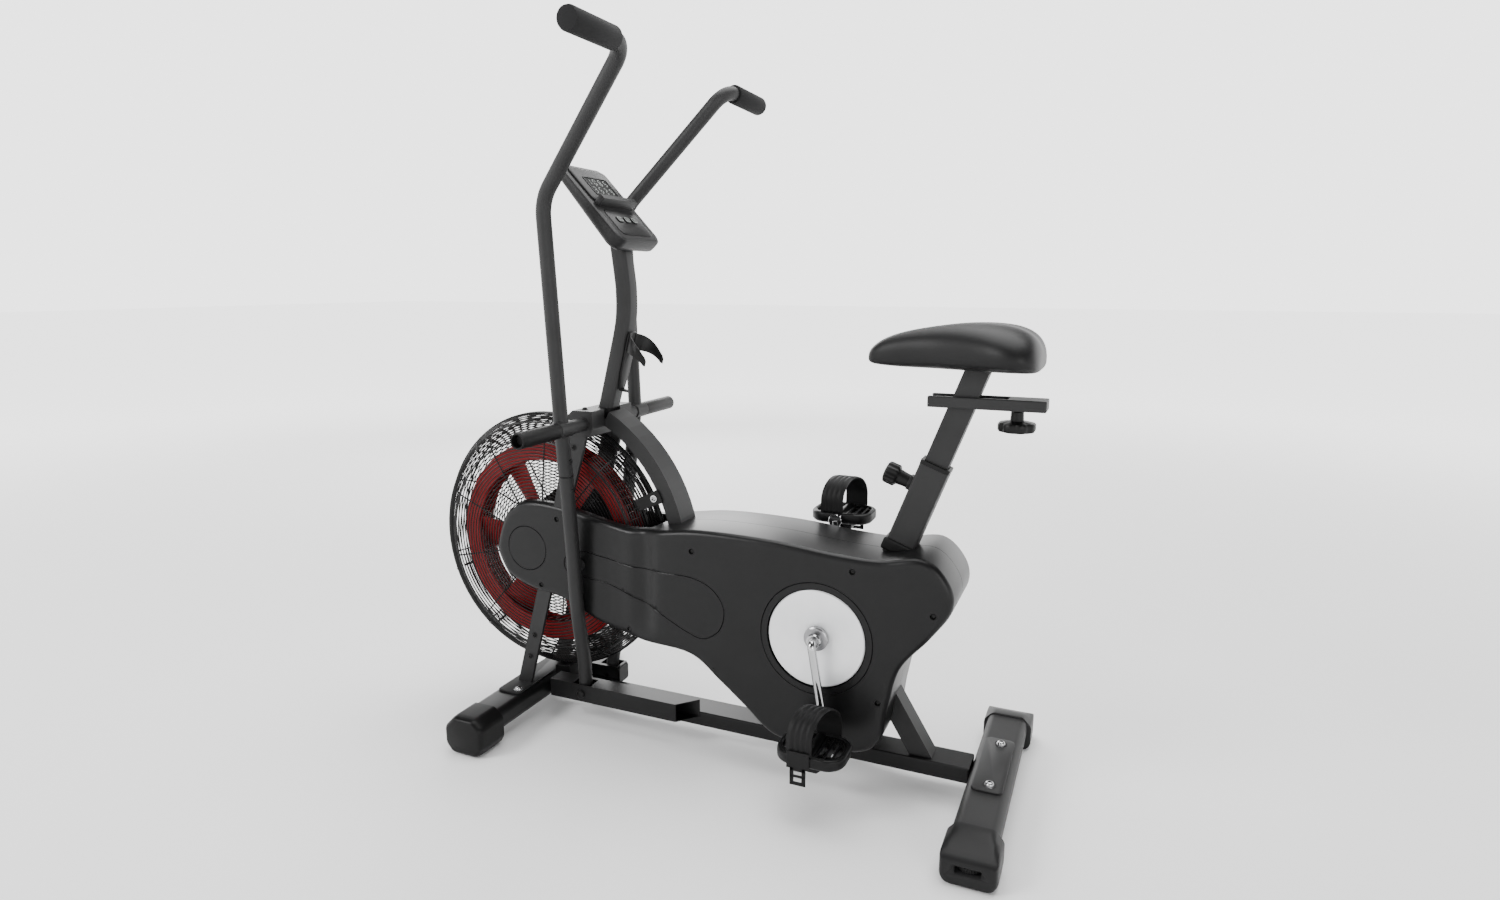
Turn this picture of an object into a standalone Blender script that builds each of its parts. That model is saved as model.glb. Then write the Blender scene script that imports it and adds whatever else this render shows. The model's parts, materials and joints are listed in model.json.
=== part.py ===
"""Air bike: a fan-resistance exercise bike with swinging arms.

World frame: +Z up, floor at Z = 0, front of the bike (fan) towards -X, rider's left side
towards -Y. Every length is in metres. The origin is under the middle of the bike's box.
"""
import math

import bmesh
import bpy
from mathutils import Matrix, Vector

# ---------------------------------------------------------------- driving dimensions
GAP = 0.0003                       # clearance between touching pieces
TUBE_WALL = 0.0015                 # steel tube wall

RAIL_HALF_WIDTH = 0.030
RAIL_BOTTOM, RAIL_TOP = 0.034, 0.064
SIDE_BOX_X = (-0.330, -0.030)      # left pivot box, along the rail
BRACKET_X = (-0.292, -0.226)       # right pivot bracket
SIDE_BOX_Y = 0.070
SIDE_BOX_Z = (0.054, 0.092)

FRONT_X, REAR_X = -0.400, 0.583    # stabiliser tube axes
STAB_WIDTH, FRONT_HALF_LENGTH, REAR_HALF_LENGTH = 0.076, 0.232, 0.2145
FRONT_STAB_Z = (0.024, 0.070)
REAR_STAB_Z = (0.021, 0.065)
CAP_WIDTH, CAP_LENGTH, CAP_OUTER_Y = 0.092, 0.072, 0.267
LEVELLER_RADIUS, LEVELLER_THICK = 0.021, 0.008

FAN_X, FAN_Z = -0.357, 0.377       # fan axle
GUARD_RADIUS, GUARD_HALF_WIDTH, GUARD_WALL = 0.279, 0.0505, 0.002
FAN_RADIUS, FAN_RING_INNER, FAN_HALF_WIDTH, BLADES = 0.217, 0.180, 0.036, 6
ARCH_OUTER, ARCH_THICK = 0.337, 0.030
ARCH_FROM, ARCH_TO = 60.0, -3.0    # degrees about the fan axle, from its rear horizontal

FORK_Y = (0.0635, 0.0715)          # fork plates, distance from the middle plane
BAR_X, BAR_Z = -0.222, 0.648       # cross bar and foot pegs
BAR_RADIUS, BAR_HALF_LENGTH = 0.0135, 0.1155
BARREL_RADIUS, BARREL_Y = 0.0155, (0.117, 0.161)
PEG_RADIUS, PEG_Y, STUB_RADIUS = 0.0150, (0.1615, 0.277), 0.0115

ARM_RADIUS = 0.014
ARM_PIVOT = (-0.254, 0.050, 0.0705)
ARM_LOWER = [(-0.246, 0.063, 0.150), (-0.239, 0.0925, 0.260), (-0.2385, 0.101, 0.400),
             (-0.2318, 0.1225, 0.555)]
ARM_MIDDLE = (-0.2275, 0.1365, 0.648)
ARM_ELBOW = (-0.2450, 0.142, 1.068)
ARM_CORNER = (-0.0330, 0.193, 1.301)
ARM_END = (-0.0300, 0.3535, 1.298)
ARM_PIN = (-0.2385, 0.360)         # where the link rod's eye meets the lever (X, Z)
ROD_SHORTER = 0.028                # right rod: its eye stays behind the fork plate all round
GRIP_RADIUS, GRIP_LENGTH = 0.0190, 0.130

COVER_HALF, COVER_WALL = 0.090, 0.0022
LOBE_HALF, LOBE_X = 0.075, (-0.150, -0.110)
INNER_WALL_Y = 0.0530              # cover wall that faces the guard
BELT_Y = (0.0575, 0.0620)

CRANK_X, CRANK_Z = 0.270, 0.289
CRANK_LENGTH, CRANK_ANGLE = 0.170, 10.0
CRANK_Y = (0.106, 0.118)
AXLE_RADIUS = 0.0085
DISC_RADIUS, DISC_Y = 0.092, (0.084, 0.0885)
DRIVE_RADIUS, DRIVEN_RADIUS, BELT_THICK = 0.0875, 0.025, 0.003
ECCENTRIC, SHEAVE_RADIUS, LINK_Y = 0.030, 0.043, (0.066, 0.071)
PEDAL_Y, PEDAL_SIZE, PEDAL_CORNER = 0.172, (0.124, 0.094, 0.022), 0.034
STRAP_TOP, STRAP_WIDTH, STRAP_SKEW = 0.078, 0.046, 0.30

SEAT_TILT = math.radians(20.7)
SEAT_TOP = (0.459, 0.611)          # middle of the seat tube's mouth (X, Z)
SEAT_TUBE_SIZE, SEAT_TUBE_Y = 0.053, 0.040
SEAT_TUBE_LENGTH = 0.600
POST_SIZE, POST_Y = 0.042, 0.029
CHANNEL_X, CHANNEL_Z = (0.442, 0.636), (0.714, 0.733)
SLIDE_KNOB_X = 0.5885

MAST_HALF, MAST_HALF_Y = 0.0165, 0.0180
CAGE_PLACE, CAGE_TILT = (-0.1622, 0, 0.766), math.radians(15.0)
CONSOLE_TOP = (-0.255, 1.143)      # front upper corner of the display face (X, Z)
CONSOLE_TILT = math.radians(46.6)
CONSOLE_LENGTH, CONSOLE_HALF_WIDTH = 0.197, 0.078
BUTTON_SIZE = (0.014, 0.018, 0.005)

parts = bpy.data.collections.new("air_bike")
cutters = bpy.data.collections.new("cutters")


# ---------------------------------------------------------------- scene and materials
def clear_scene():
    for obj in list(bpy.data.objects):
        bpy.data.objects.remove(obj, do_unlink=True)
    bpy.context.scene.collection.children.link(parts)
    bpy.context.scene.collection.children.link(cutters)


def make_material(name, colour, roughness, metallic):
    material = bpy.data.materials.new(name)
    material.use_nodes = True
    shader = material.node_tree.nodes["Principled BSDF"]
    shader.inputs["Base Color"].default_value = (*colour, 1.0)
    shader.inputs["Roughness"].default_value = roughness
    shader.inputs["Metallic"].default_value = metallic
    material.diffuse_color = (*colour, 1.0)
    return material


clear_scene()
PAINT = make_material("charcoal_paint", (0.035, 0.035, 0.037), 0.42, 0.3)
PLASTIC = make_material("cover_plastic", (0.022, 0.022, 0.023), 0.45, 0.0)
TRIM = make_material("black_plastic", (0.012, 0.012, 0.013), 0.50, 0.0)
RUBBER = make_material("grip_foam", (0.030, 0.030, 0.031), 0.85, 0.0)
RED = make_material("fan_red", (0.300, 0.012, 0.015), 0.38, 0.2)
WIRE = make_material("guard_wire", (0.018, 0.018, 0.019), 0.35, 0.5)
CHROME = make_material("chrome", (0.800, 0.800, 0.800), 0.12, 1.0)
SILVER = make_material("silver_disc", (0.720, 0.730, 0.740), 0.35, 0.6)
STEEL = make_material("bright_steel", (0.500, 0.500, 0.500), 0.30, 1.0)
BELTING = make_material("belt_rubber", (0.015, 0.015, 0.015), 0.75, 0.0)
VINYL = make_material("saddle_vinyl", (0.028, 0.028, 0.029), 0.55, 0.0)
LENS = make_material("display_window", (0.300, 0.330, 0.300), 0.15, 0.0)
KEYS = make_material("button_grey", (0.250, 0.250, 0.260), 0.50, 0.0)


# ---------------------------------------------------------------- shape helpers
def finish(obj, name, material):
    """Name an object, put it in the parts collection and give it its material."""
    obj.name = name
    for collection in list(obj.users_collection):
        collection.objects.unlink(obj)
    parts.objects.link(obj)
    obj.data.materials.clear()
    obj.data.materials.append(material)
    if obj.type == "MESH":
        obj.data.shade_smooth()
        obj.data.set_sharp_from_angle(angle=math.radians(32))
    return obj


def as_cutter(obj, name="cutter"):
    obj.name = name
    for collection in list(obj.users_collection):
        collection.objects.unlink(obj)
    cutters.objects.link(obj)
    obj.hide_render = True
    obj.display_type = "WIRE"
    return obj


def boolean(obj, other, operation):
    as_cutter(other)
    modifier = obj.modifiers.new(operation.lower(), "BOOLEAN")
    modifier.operation = operation
    modifier.solver = "EXACT"
    modifier.object = other
    return obj


def cut(obj, *others):
    for other in others:
        boolean(obj, other, "DIFFERENCE")
    return obj


def join(obj, *others):
    for other in others:
        boolean(obj, other, "UNION")
    return obj


def soften(obj, width, segments=2, angle=40.0):
    """Round the sharp edges of a mesh."""
    modifier = obj.modifiers.new("soften", "BEVEL")
    modifier.width = width
    modifier.segments = segments
    modifier.limit_method = "ANGLE"
    modifier.angle_limit = math.radians(angle)
    return obj


def box(low, high, turn=0.0):
    """A block between two corners, turned about Y through its middle."""
    low, high = Vector(low), Vector(high)
    bpy.ops.mesh.primitive_cube_add(size=1.0, location=(0, 0, 0))
    obj = bpy.context.object
    obj.data.transform(Matrix.Diagonal((*(high - low), 1.0)))
    obj.location = (low + high) / 2
    obj.rotation_euler = (0.0, turn, 0.0)
    return obj


def cylinder(radius, start, end, sides=24):
    """A round bar from one point to another."""
    start, end = Vector(start), Vector(end)
    bpy.ops.mesh.primitive_cylinder_add(vertices=sides, radius=radius,
                                        depth=(end - start).length)
    obj = bpy.context.object
    obj.location = (start + end) / 2
    obj.rotation_euler = (end - start).to_track_quat("Z", "Y").to_euler()
    return obj


def curve_to_mesh(obj):
    """Turn a filled curve into one welded mesh that Booleans can use."""
    depsgraph = bpy.context.evaluated_depsgraph_get()
    mesh = bpy.data.meshes.new_from_object(obj.evaluated_get(depsgraph))
    shape = bmesh.new()
    shape.from_mesh(mesh)
    bmesh.ops.remove_doubles(shape, verts=shape.verts, dist=1e-6)
    bmesh.ops.recalc_face_normals(shape, faces=shape.faces)
    shape.to_mesh(mesh)
    shape.free()
    solid = bpy.data.objects.new("slab", mesh)
    bpy.context.scene.collection.objects.link(solid)
    solid.matrix_world = obj.matrix_world
    bpy.data.objects.remove(obj, do_unlink=True)
    return solid


def slab(outline, start, end, axis="Y"):
    """A flat outline made thick along an axis. Its points are (X, Z), (Y, Z) or (X, Y)."""
    curve = bpy.data.curves.new("outline", "CURVE")
    curve.dimensions = "2D"
    curve.fill_mode = "BOTH"
    curve.extrude = abs(end - start) / 2
    spline = curve.splines.new("POLY")
    spline.points.add(len(outline) - 1)
    for point, (across, up) in zip(spline.points, outline):
        point.co = (across, up, 0.0, 1.0)
    spline.use_cyclic_u = True
    obj = bpy.data.objects.new("outline", curve)
    bpy.context.scene.collection.objects.link(obj)
    middle = (start + end) / 2
    if axis == "Y":
        obj.matrix_world = Matrix.Translation((0, middle, 0)) @ Matrix.Rotation(math.pi / 2, 4, "X")
    elif axis == "X":
        turn = Matrix(((0, 0, 1, 0), (1, 0, 0, 0), (0, 1, 0, 0), (0, 0, 0, 1)))
        obj.matrix_world = Matrix.Translation((middle, 0, 0)) @ turn
    else:
        obj.matrix_world = Matrix.Translation((0, 0, middle))
    bpy.context.view_layer.update()
    return curve_to_mesh(obj)


def arc(centre, radius, first, last, steps):
    """Points on an arc, angles in degrees."""
    angles = [math.radians(first + (last - first) * i / steps) for i in range(steps + 1)]
    return [(centre[0] + radius * math.cos(a), centre[1] + radius * math.sin(a)) for a in angles]


def rounded(corners, radius, steps=3):
    """A closed outline with each corner replaced by an arc of the given radius."""
    points = []
    count = len(corners)
    for i, corner in enumerate(corners):
        here = Vector(corner)
        back = (Vector(corners[i - 1]) - here).normalized()
        ahead = (Vector(corners[(i + 1) % count]) - here).normalized()
        half = back.angle(ahead) / 2
        reach = radius / math.tan(half)
        first, last = here + back * reach, here + ahead * reach
        middle = here + (back + ahead).normalized() * (radius / math.sin(half))
        for step in range(steps + 1):
            spot = first.lerp(last, step / steps) - middle
            points.append(tuple(middle + spot.normalized() * radius))
    return points


def rounded_box(low, high, radius, steps=3):
    corners = [(low[0], low[1]), (high[0], low[1]), (high[0], high[1]), (low[0], high[1])]
    return rounded(corners, radius, steps)


def smooth_loop(points, steps):
    """A closed smooth curve through the points."""
    loop = []
    count = len(points)
    for i in range(count):
        a, b, c, d = (Vector(points[(i + k - 1) % count]) for k in range(4))
        for step in range(steps):
            t = step / steps
            spot = 0.5 * (2 * b + (c - a) * t + (2 * a - 5 * b + 4 * c - d) * t ** 2
                          + (3 * b - a - 3 * c + d) * t ** 3)
            loop.append(tuple(spot))
    return loop


def inset(outline, distance):
    """The outline moved inwards (outline runs clockwise)."""
    moved = []
    count = len(outline)
    for i, point in enumerate(outline):
        along = Vector(outline[(i + 1) % count]) - Vector(outline[i - 1])
        inward = Vector((along.y, -along.x)).normalized()
        moved.append(tuple(Vector(point) + inward * distance))
    return moved


def bent_path(corners, radii, steps=5):
    """A 3-D path whose inner corners are rounded, each by its own radius."""
    corners = [Vector(c) for c in corners]
    path = [corners[0]]
    for before, here, after, radius in zip(corners, corners[1:], corners[2:], radii):
        back, ahead = (before - here).normalized(), (after - here).normalized()
        half = back.angle(ahead) / 2
        reach = radius / math.tan(half)
        middle = here + (back + ahead).normalized() * (radius / math.sin(half))
        first, last = here + back * reach, here + ahead * reach
        for step in range(steps + 1):
            spot = first.lerp(last, step / steps) - middle
            path.append(middle + spot.normalized() * radius)
    path.append(corners[-1])
    return path


def round_tube(path, radius):
    """A round bar along a path."""
    curve = bpy.data.curves.new("tube", "CURVE")
    curve.dimensions = "3D"
    curve.bevel_depth = radius
    curve.bevel_resolution = 3
    curve.use_fill_caps = True
    spline = curve.splines.new("POLY")
    spline.points.add(len(path) - 1)
    for point, place in zip(spline.points, path):
        point.co = (*place, 1.0)
    obj = bpy.data.objects.new("tube", curve)
    bpy.context.scene.collection.objects.link(obj)
    bpy.context.view_layer.update()
    return curve_to_mesh(obj)


def lathe(profile, centre, direction, sides=48):
    """Turn a closed (radius, height) profile about an axis through centre."""
    following = profile[1:] + profile[:1]
    if sum(a[0] * b[1] - b[0] * a[1] for a, b in zip(profile, following)) > 0:
        profile = profile[::-1]
    mesh = bpy.data.meshes.new("profile")
    shape = bmesh.new()
    verts = [shape.verts.new((radius, 0.0, height)) for radius, height in profile]
    pairs = zip(verts, verts[1:] + verts[:1])
    on_axis = profile[0][0] == 0.0 and profile[-1][0] == 0.0
    for i, (first, second) in enumerate(pairs):
        if not (on_axis and i == len(verts) - 1):
            shape.edges.new((first, second))
    shape.to_mesh(mesh)
    shape.free()
    obj = bpy.data.objects.new("turned", mesh)
    bpy.context.scene.collection.objects.link(obj)
    modifier = obj.modifiers.new("turn", "SCREW")
    modifier.axis = "Z"
    modifier.angle = math.tau
    modifier.steps = sides
    modifier.render_steps = sides
    modifier.use_merge_vertices = True
    modifier.merge_threshold = 1e-5
    obj.location = centre
    obj.rotation_euler = Vector(direction).to_track_quat("Z", "Y").to_euler()
    return obj


def rectangle_tube(start, end, across, deep):
    """A hollow rectangular tube between two points of the XZ plane, open at both ends."""
    start, end = Vector((start[0], 0, start[1])), Vector((end[0], 0, end[1]))
    run = end - start
    outer = box((-deep / 2, -across / 2, -run.length / 2), (deep / 2, across / 2, run.length / 2))
    soften(outer, 0.003)
    hole = box((-deep / 2 + TUBE_WALL, -across / 2 + TUBE_WALL, -run.length),
               (deep / 2 - TUBE_WALL, across / 2 - TUBE_WALL, run.length))
    turn = math.atan2(run.x, run.z)
    for obj in (outer, hole):
        obj.location = (start + end) / 2
        obj.rotation_euler = (0.0, turn, 0.0)
    return cut(outer, hole)


def sided(side, y_pair):
    """A pair of distances from the middle plane, as Y values on one side."""
    return sorted((side * y_pair[0], side * y_pair[1]))


def side_name(side):
    return "left" if side < 0 else "right"


def pivot(name, place, *objs, parent=None):
    """An empty on a joint's axis that carries its pieces."""
    empty = bpy.data.objects.new(name, None)
    empty.empty_display_size = 0.03
    parts.objects.link(empty)
    empty.location = place
    if parent is not None:
        bpy.context.view_layer.update()
        empty.parent = parent
        empty.matrix_parent_inverse = parent.matrix_world.inverted()
    bpy.context.view_layer.update()
    for obj in objs:
        obj.parent = empty
        obj.matrix_parent_inverse = empty.matrix_world.inverted()
    return empty


# ---------------------------------------------------------------- base
def stabiliser_outline(middle, z_pair, grow=0.0):
    half = STAB_WIDTH / 2 + grow
    return rounded_box((middle - half, z_pair[0] - grow), (middle + half, z_pair[1] + grow),
                       0.013 + grow)


def make_stabiliser(name, middle, z_pair, half_length):
    tube = slab(stabiliser_outline(middle, z_pair), -half_length, half_length)
    bore = slab(stabiliser_outline(middle, z_pair, -TUBE_WALL), -0.3, 0.3)
    finish(cut(tube, bore), name, PAINT)


def make_front_caps():
    left, right = FRONT_X - CAP_WIDTH / 2, FRONT_X + CAP_WIDTH / 2
    outline = [(left + 0.016, 0.0), (right - 0.012, 0.0), (right, 0.020), (right, 0.060),
               (right - 0.020, 0.078), (left + 0.022, 0.078), (left, 0.056), (left, 0.020)]
    for side in (-1, 1):
        y_pair = sided(side, (CAP_OUTER_Y - CAP_LENGTH, CAP_OUTER_Y))
        cap = slab(rounded(outline, 0.006, 2), *y_pair)
        socket = slab(stabiliser_outline(FRONT_X, FRONT_STAB_Z, GAP),
                      *sided(side, (0.15, FRONT_HALF_LENGTH + GAP)))
        finish(cut(cap, socket), "front_cap_" + side_name(side), TRIM)


def make_rear_caps():
    left, right = REAR_X - CAP_WIDTH / 2, REAR_X + CAP_WIDTH / 2
    outline = [(left + 0.008, 0.0), (right - 0.008, 0.0), (right, 0.012), (right, 0.050),
               (right - 0.016, 0.068), (left + 0.016, 0.068), (left, 0.050), (left, 0.012)]
    for side in (-1, 1):
        name = side_name(side)
        cap = slab(rounded(outline, 0.006, 2),
                   *sided(side, (CAP_OUTER_Y - CAP_LENGTH, CAP_OUTER_Y)))
        slope = slab([(0.216, 0.0685), (0.268, 0.046), (0.30, 0.046), (0.30, 0.10), (0.216, 0.10)]
                     if side > 0 else
                     [(-0.216, 0.0685), (-0.268, 0.046), (-0.30, 0.046), (-0.30, 0.10), (-0.216, 0.10)],
                     REAR_X - 0.1, REAR_X + 0.1, axis="X")
        socket = slab(stabiliser_outline(REAR_X, REAR_STAB_Z, GAP),
                      *sided(side, (0.15, REAR_HALF_LENGTH + GAP)))
        wheel_y, wheel_z = side * 0.2435, 0.030
        half = LEVELLER_THICK / 2
        pocket = cylinder(LEVELLER_RADIUS + 0.001, (REAR_X, wheel_y, wheel_z - half - 0.001),
                          (REAR_X, wheel_y, wheel_z + half + 0.001))
        window = box((REAR_X - 0.019, min(wheel_y, side * 0.28), wheel_z - half - 0.001),
                     (REAR_X + 0.019, max(wheel_y, side * 0.28), wheel_z + half + 0.001))
        finish(cut(cap, slope, socket, pocket, window), "rear_cap_" + name, TRIM)
        wheel = lathe([(0.0, half), (LEVELLER_RADIUS, half), (LEVELLER_RADIUS, -half), (0.0, -half)],
                      (REAR_X, wheel_y, wheel_z), (0, 0, 1), 24)
        finish(wheel, "leveller_" + name, TRIM)
        pivot("leveller_axis_" + name, (REAR_X, wheel_y, wheel_z), wheel)


def make_pivot_box(side, x_pair, name):
    """Box section on one side of the rail: the arm goes down through its top to a pivot bolt."""
    inner, outer = RAIL_HALF_WIDTH + GAP, SIDE_BOX_Y
    front, rear = x_pair
    low, high = SIDE_BOX_Z
    mitred = 0.036 if side < 0 else 0.0
    outline = [(front, side * inner), (rear + mitred, side * inner), (rear, side * outer),
               (front, side * outer)]
    shell = slab(outline, low, high, axis="Z")
    y_pair = sided(side, (inner + TUBE_WALL, outer - TUBE_WALL))
    bore = box((front - 0.1, y_pair[0], low + TUBE_WALL), (rear + 0.1, y_pair[1], high - TUBE_WALL))
    x, y, z = ARM_PIVOT
    slot_y = sided(side, (y - 0.012, outer - TUBE_WALL))
    slot = box((x - 0.020, slot_y[0], high - 0.01), (x + 0.0235, slot_y[1], high + 0.01))
    hole = cylinder(0.0053, (x, side * 0.02, z), (x, side * 0.1, z), 20)
    finish(cut(shell, bore, slot, hole), name, PAINT)
    bolt = lathe([(0.0, -0.0335), (0.0050, -0.0335), (0.0050, 0.0703), (0.0095, 0.0703),
                  (0.0085, 0.0760), (0.0, 0.0760)], (x, 0, z), (0, side, 0), 20)
    trim = box((x - 0.02, -0.0365, z - 0.02), (x + 0.02, 0.0365, z + 0.02))
    finish(cut(bolt, trim), "pivot_bolt_" + side_name(side), CHROME)


def make_base():
    front_face = FRONT_X + STAB_WIDTH / 2 + GAP
    rear_face = REAR_X - STAB_WIDTH / 2 - GAP
    middle = (RAIL_BOTTOM + RAIL_TOP) / 2
    rail = rectangle_tube((front_face, middle), (rear_face, middle),
                          2 * RAIL_HALF_WIDTH, RAIL_TOP - RAIL_BOTTOM)
    column = box((-0.352, -0.020, RAIL_TOP - 0.001), (-0.316, 0.020, 0.150))
    guard_room = cylinder(GUARD_RADIUS + GAP, (FAN_X, -0.1, FAN_Z), (FAN_X, 0.1, FAN_Z), 96)
    finish(join(rail, cut(column, guard_room)), "base_rail", PAINT)
    make_stabiliser("front_stabiliser", FRONT_X, FRONT_STAB_Z, FRONT_HALF_LENGTH)
    make_stabiliser("rear_stabiliser", REAR_X, REAR_STAB_Z, REAR_HALF_LENGTH)
    make_front_caps()
    make_rear_caps()
    make_pivot_box(-1, SIDE_BOX_X, "side_box")
    make_pivot_box(1, BRACKET_X, "pivot_bracket_right")


# ---------------------------------------------------------------- front frame
def fork_outline(grow=0.0):
    """One fork plate in the XZ plane: a raked bar that widens upwards, with a lug for the axle."""
    foot, head = Vector((-0.4004, 0.0600)), Vector((-0.2385, 0.6280))
    along = (head - foot).normalized()
    across = Vector((along.y, -along.x))
    waist = foot + along * 0.405
    lug = arc((FAN_X, FAN_Z), 0.024 + grow, 95, 270, 10)
    return [tuple(foot - across * (0.0155 + grow)), tuple(foot + across * (0.0155 + grow)),
            tuple(waist + across * (0.0175 + grow)), tuple(head + across * (0.0225 + grow)),
            tuple(head - across * (0.0225 + grow)), tuple(waist - across * (0.0175 + grow)),
            *lug, tuple(foot + along * 0.235 - across * (0.0155 + grow))]


def make_forks():
    for side in (-1, 1):
        y_pair = sided(side, FORK_Y)
        plate = slab(fork_outline(), *y_pair)
        hole = cylinder(0.0063, (FAN_X, -0.2, FAN_Z), (FAN_X, 0.2, FAN_Z), 24)
        tube_top = box((-0.5, -0.2, -0.1), (-0.2, 0.2, FRONT_STAB_Z[1] + GAP))
        finish(cut(plate, hole, tube_top), "fork_" + side_name(side), PAINT)
    axle = cylinder(0.006, (FAN_X, -0.0715, FAN_Z), (FAN_X, 0.0715, FAN_Z), 24)
    finish(axle, "fan_axle", STEEL)


def arch_solid(grow=0.0, reach=0.0):
    outer, inner = ARCH_OUTER + grow, ARCH_OUTER - ARCH_THICK - grow
    first, last = ARCH_FROM + reach, ARCH_TO - reach
    centre = (FAN_X, FAN_Z)
    outline = arc(centre, outer, first, last, 14) + arc(centre, inner, last, first, 14)
    half = RAIL_HALF_WIDTH + grow
    return slab(outline, -half, half)


def make_arch():
    """Curved tube over the rear of the guard, with a spine that runs back to the seat tube."""
    arch = arch_solid()
    cut(arch, arch_solid(-TUBE_WALL, 6.0))
    spine = box((-0.0245, -0.015, 0.385), (0.40, 0.015, 0.425))
    hollow = box((-0.0260, -0.0135, 0.3865), (0.45, 0.0135, 0.4235))
    behind = seat_block(SEAT_TUBE_Y + 0.1, SEAT_TUBE_SIZE + 2 * GAP, 0.0, 0.62)
    tail = box((0.375, -0.1, 0.3), (0.5, 0.1, 0.5))
    finish(join(arch, cut(spine, hollow, behind, tail)), "arch_frame", PAINT)


def make_top_bracket():
    """Head of the front frame with its cross bar; fork struts, arch and mast meet here."""
    outline = [(-0.262, 0.6335), (-0.245, 0.6240), (-0.205, 0.6240), (-0.200, 0.6395),
               (-0.200, 0.6745), (-0.245, 0.6745), (-0.262, 0.660)]
    head = slab(outline, -0.0740, 0.0740)
    bar = cylinder(BAR_RADIUS, (BAR_X, -BAR_HALF_LENGTH, BAR_Z), (BAR_X, BAR_HALF_LENGTH, BAR_Z), 24)
    room = [slab(fork_outline(GAP), *sided(side, (FORK_Y[0] - GAP, FORK_Y[1] + GAP)))
            for side in (-1, 1)]
    under = cylinder(GUARD_RADIUS + 0.003, (FAN_X, -0.054, FAN_Z), (FAN_X, 0.054, FAN_Z), 64)
    finish(cut(join(head, bar), under, arch_solid(GAP, 3.0), *room), "top_bracket", PAINT)


def mast_outline(grow=0.0, top=0.0):
    """Side view of the mast: it leans back, straightens and tips towards the console."""
    line = [(-0.2075, 0.6748), (-0.2000, 0.7000), (-0.1780, 0.7820), (-0.1640, 0.8370),
            (-0.1597, 0.8680), (-0.1592, 0.9000), (-0.1612, 0.9300), (-0.1735, 1.0270)]
    half = MAST_HALF + grow
    front = [(x - half, z + (top if z > 1.0 else 0.0)) for x, z in line]
    rear = [(x + half, z + (top if z > 1.0 else 0.0)) for x, z in line[::-1]]
    return front + rear


def make_mast():
    mast = slab(mast_outline(), -MAST_HALF_Y, MAST_HALF_Y)
    longer = [(x, 0.60 if z < 0.68 else z) for x, z in mast_outline(-TUBE_WALL, 0.05)]
    bore = slab(longer, -MAST_HALF_Y + TUBE_WALL, MAST_HALF_Y - TUBE_WALL)
    finish(cut(mast, bore), "mast", PAINT)


def make_bottle_cage():
    """Back plate, a small foot and two drooping claws for a bottle, on the rear face of the mast."""
    plate = box((-0.0018, -0.0155, -0.058), (0.0018, 0.0155, 0.062))
    foot = box((-0.0018, -0.0155, -0.058), (0.018, 0.0155, -0.0544))
    ring = lathe([(0.0375, 0.060), (0.0345, 0.060), (0.0345, 0.024), (0.0375, 0.024)],
                 (0.0370, 0, 0.0), (0, 0, 1), 32)
    mouth = box((0.0500, -0.05, 0.0), (0.10, 0.05, 0.08))
    cut(ring, mouth)
    bpy.context.view_layer.update()
    for vertex in ring.data.vertices:
        reach = max(vertex.co.x, 0.0)
        middle = 0.042 - 7.0 * reach * reach
        vertex.co.z = middle + (vertex.co.z - 0.042) * (1.0 - 0.55 * min(reach / 0.050, 1.0))
    join(plate, foot, ring)
    place = Matrix.Translation(CAGE_PLACE) @ Matrix.Rotation(CAGE_TILT, 4, "Y")
    for obj in (plate, foot, ring, mouth):
        obj.matrix_world = place @ obj.matrix_world
    finish(plate, "bottle_cage", TRIM)


# ---------------------------------------------------------------- console
def console_matrix():
    """Local X runs down the face, local Z is the face's outward normal."""
    return (Matrix.Translation((CONSOLE_TOP[0], 0, CONSOLE_TOP[1]))
            @ Matrix.Rotation(CONSOLE_TILT, 4, "Y"))


def make_console():
    place = console_matrix()
    belly = [(0.0, 0.0), (CONSOLE_LENGTH, 0.0), (CONSOLE_LENGTH + 0.006, -0.010),
             (CONSOLE_LENGTH - 0.006, -0.024), (0.150, -0.034), (0.070, -0.032), (0.016, -0.020),
             (0.002, -0.012)]
    housing = slab(belly, -CONSOLE_HALF_WIDTH, CONSOLE_HALF_WIDTH)
    soften(housing, 0.006, 3, 60)
    ledge = box((0.100, -0.060, -0.004), (0.110, 0.060, 0.020))
    window = box((0.030, -0.047, -0.0033), (0.088, 0.047, 0.01))
    join(housing, ledge)
    cut(housing, window)
    lens = box((0.0303, -0.0467, -0.003), (0.0877, 0.0467, -0.0005))
    pieces = [housing, ledge, window, lens]
    buttons = []
    width, length, height = BUTTON_SIZE
    for index in range(3):
        across = (index - 1) * 0.026
        low = (0.145 - width / 2, across - length / 2)
        high = (0.145 + width / 2, across + length / 2)
        pocket = box((low[0] - 0.0005, low[1] - 0.0005, -0.005),
                     (high[0] + 0.0005, high[1] + 0.0005, 0.01))
        cut(housing, pocket)
        button = box((*low, -0.0035), (*high, height - 0.0035))
        soften(button, 0.0008)
        buttons.append(button)
        pieces += [pocket, button]
    socket = slab(mast_outline(GAP, GAP), -MAST_HALF_Y - GAP, MAST_HALF_Y + GAP)
    bpy.context.view_layer.update()
    for obj in pieces:
        obj.matrix_world = place @ obj.matrix_world
    finish(cut(housing, socket), "console", TRIM)
    finish(lens, "console_window", LENS)
    for index, button in enumerate(buttons):
        finish(button, "button_%d" % (index + 1), KEYS)




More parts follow.
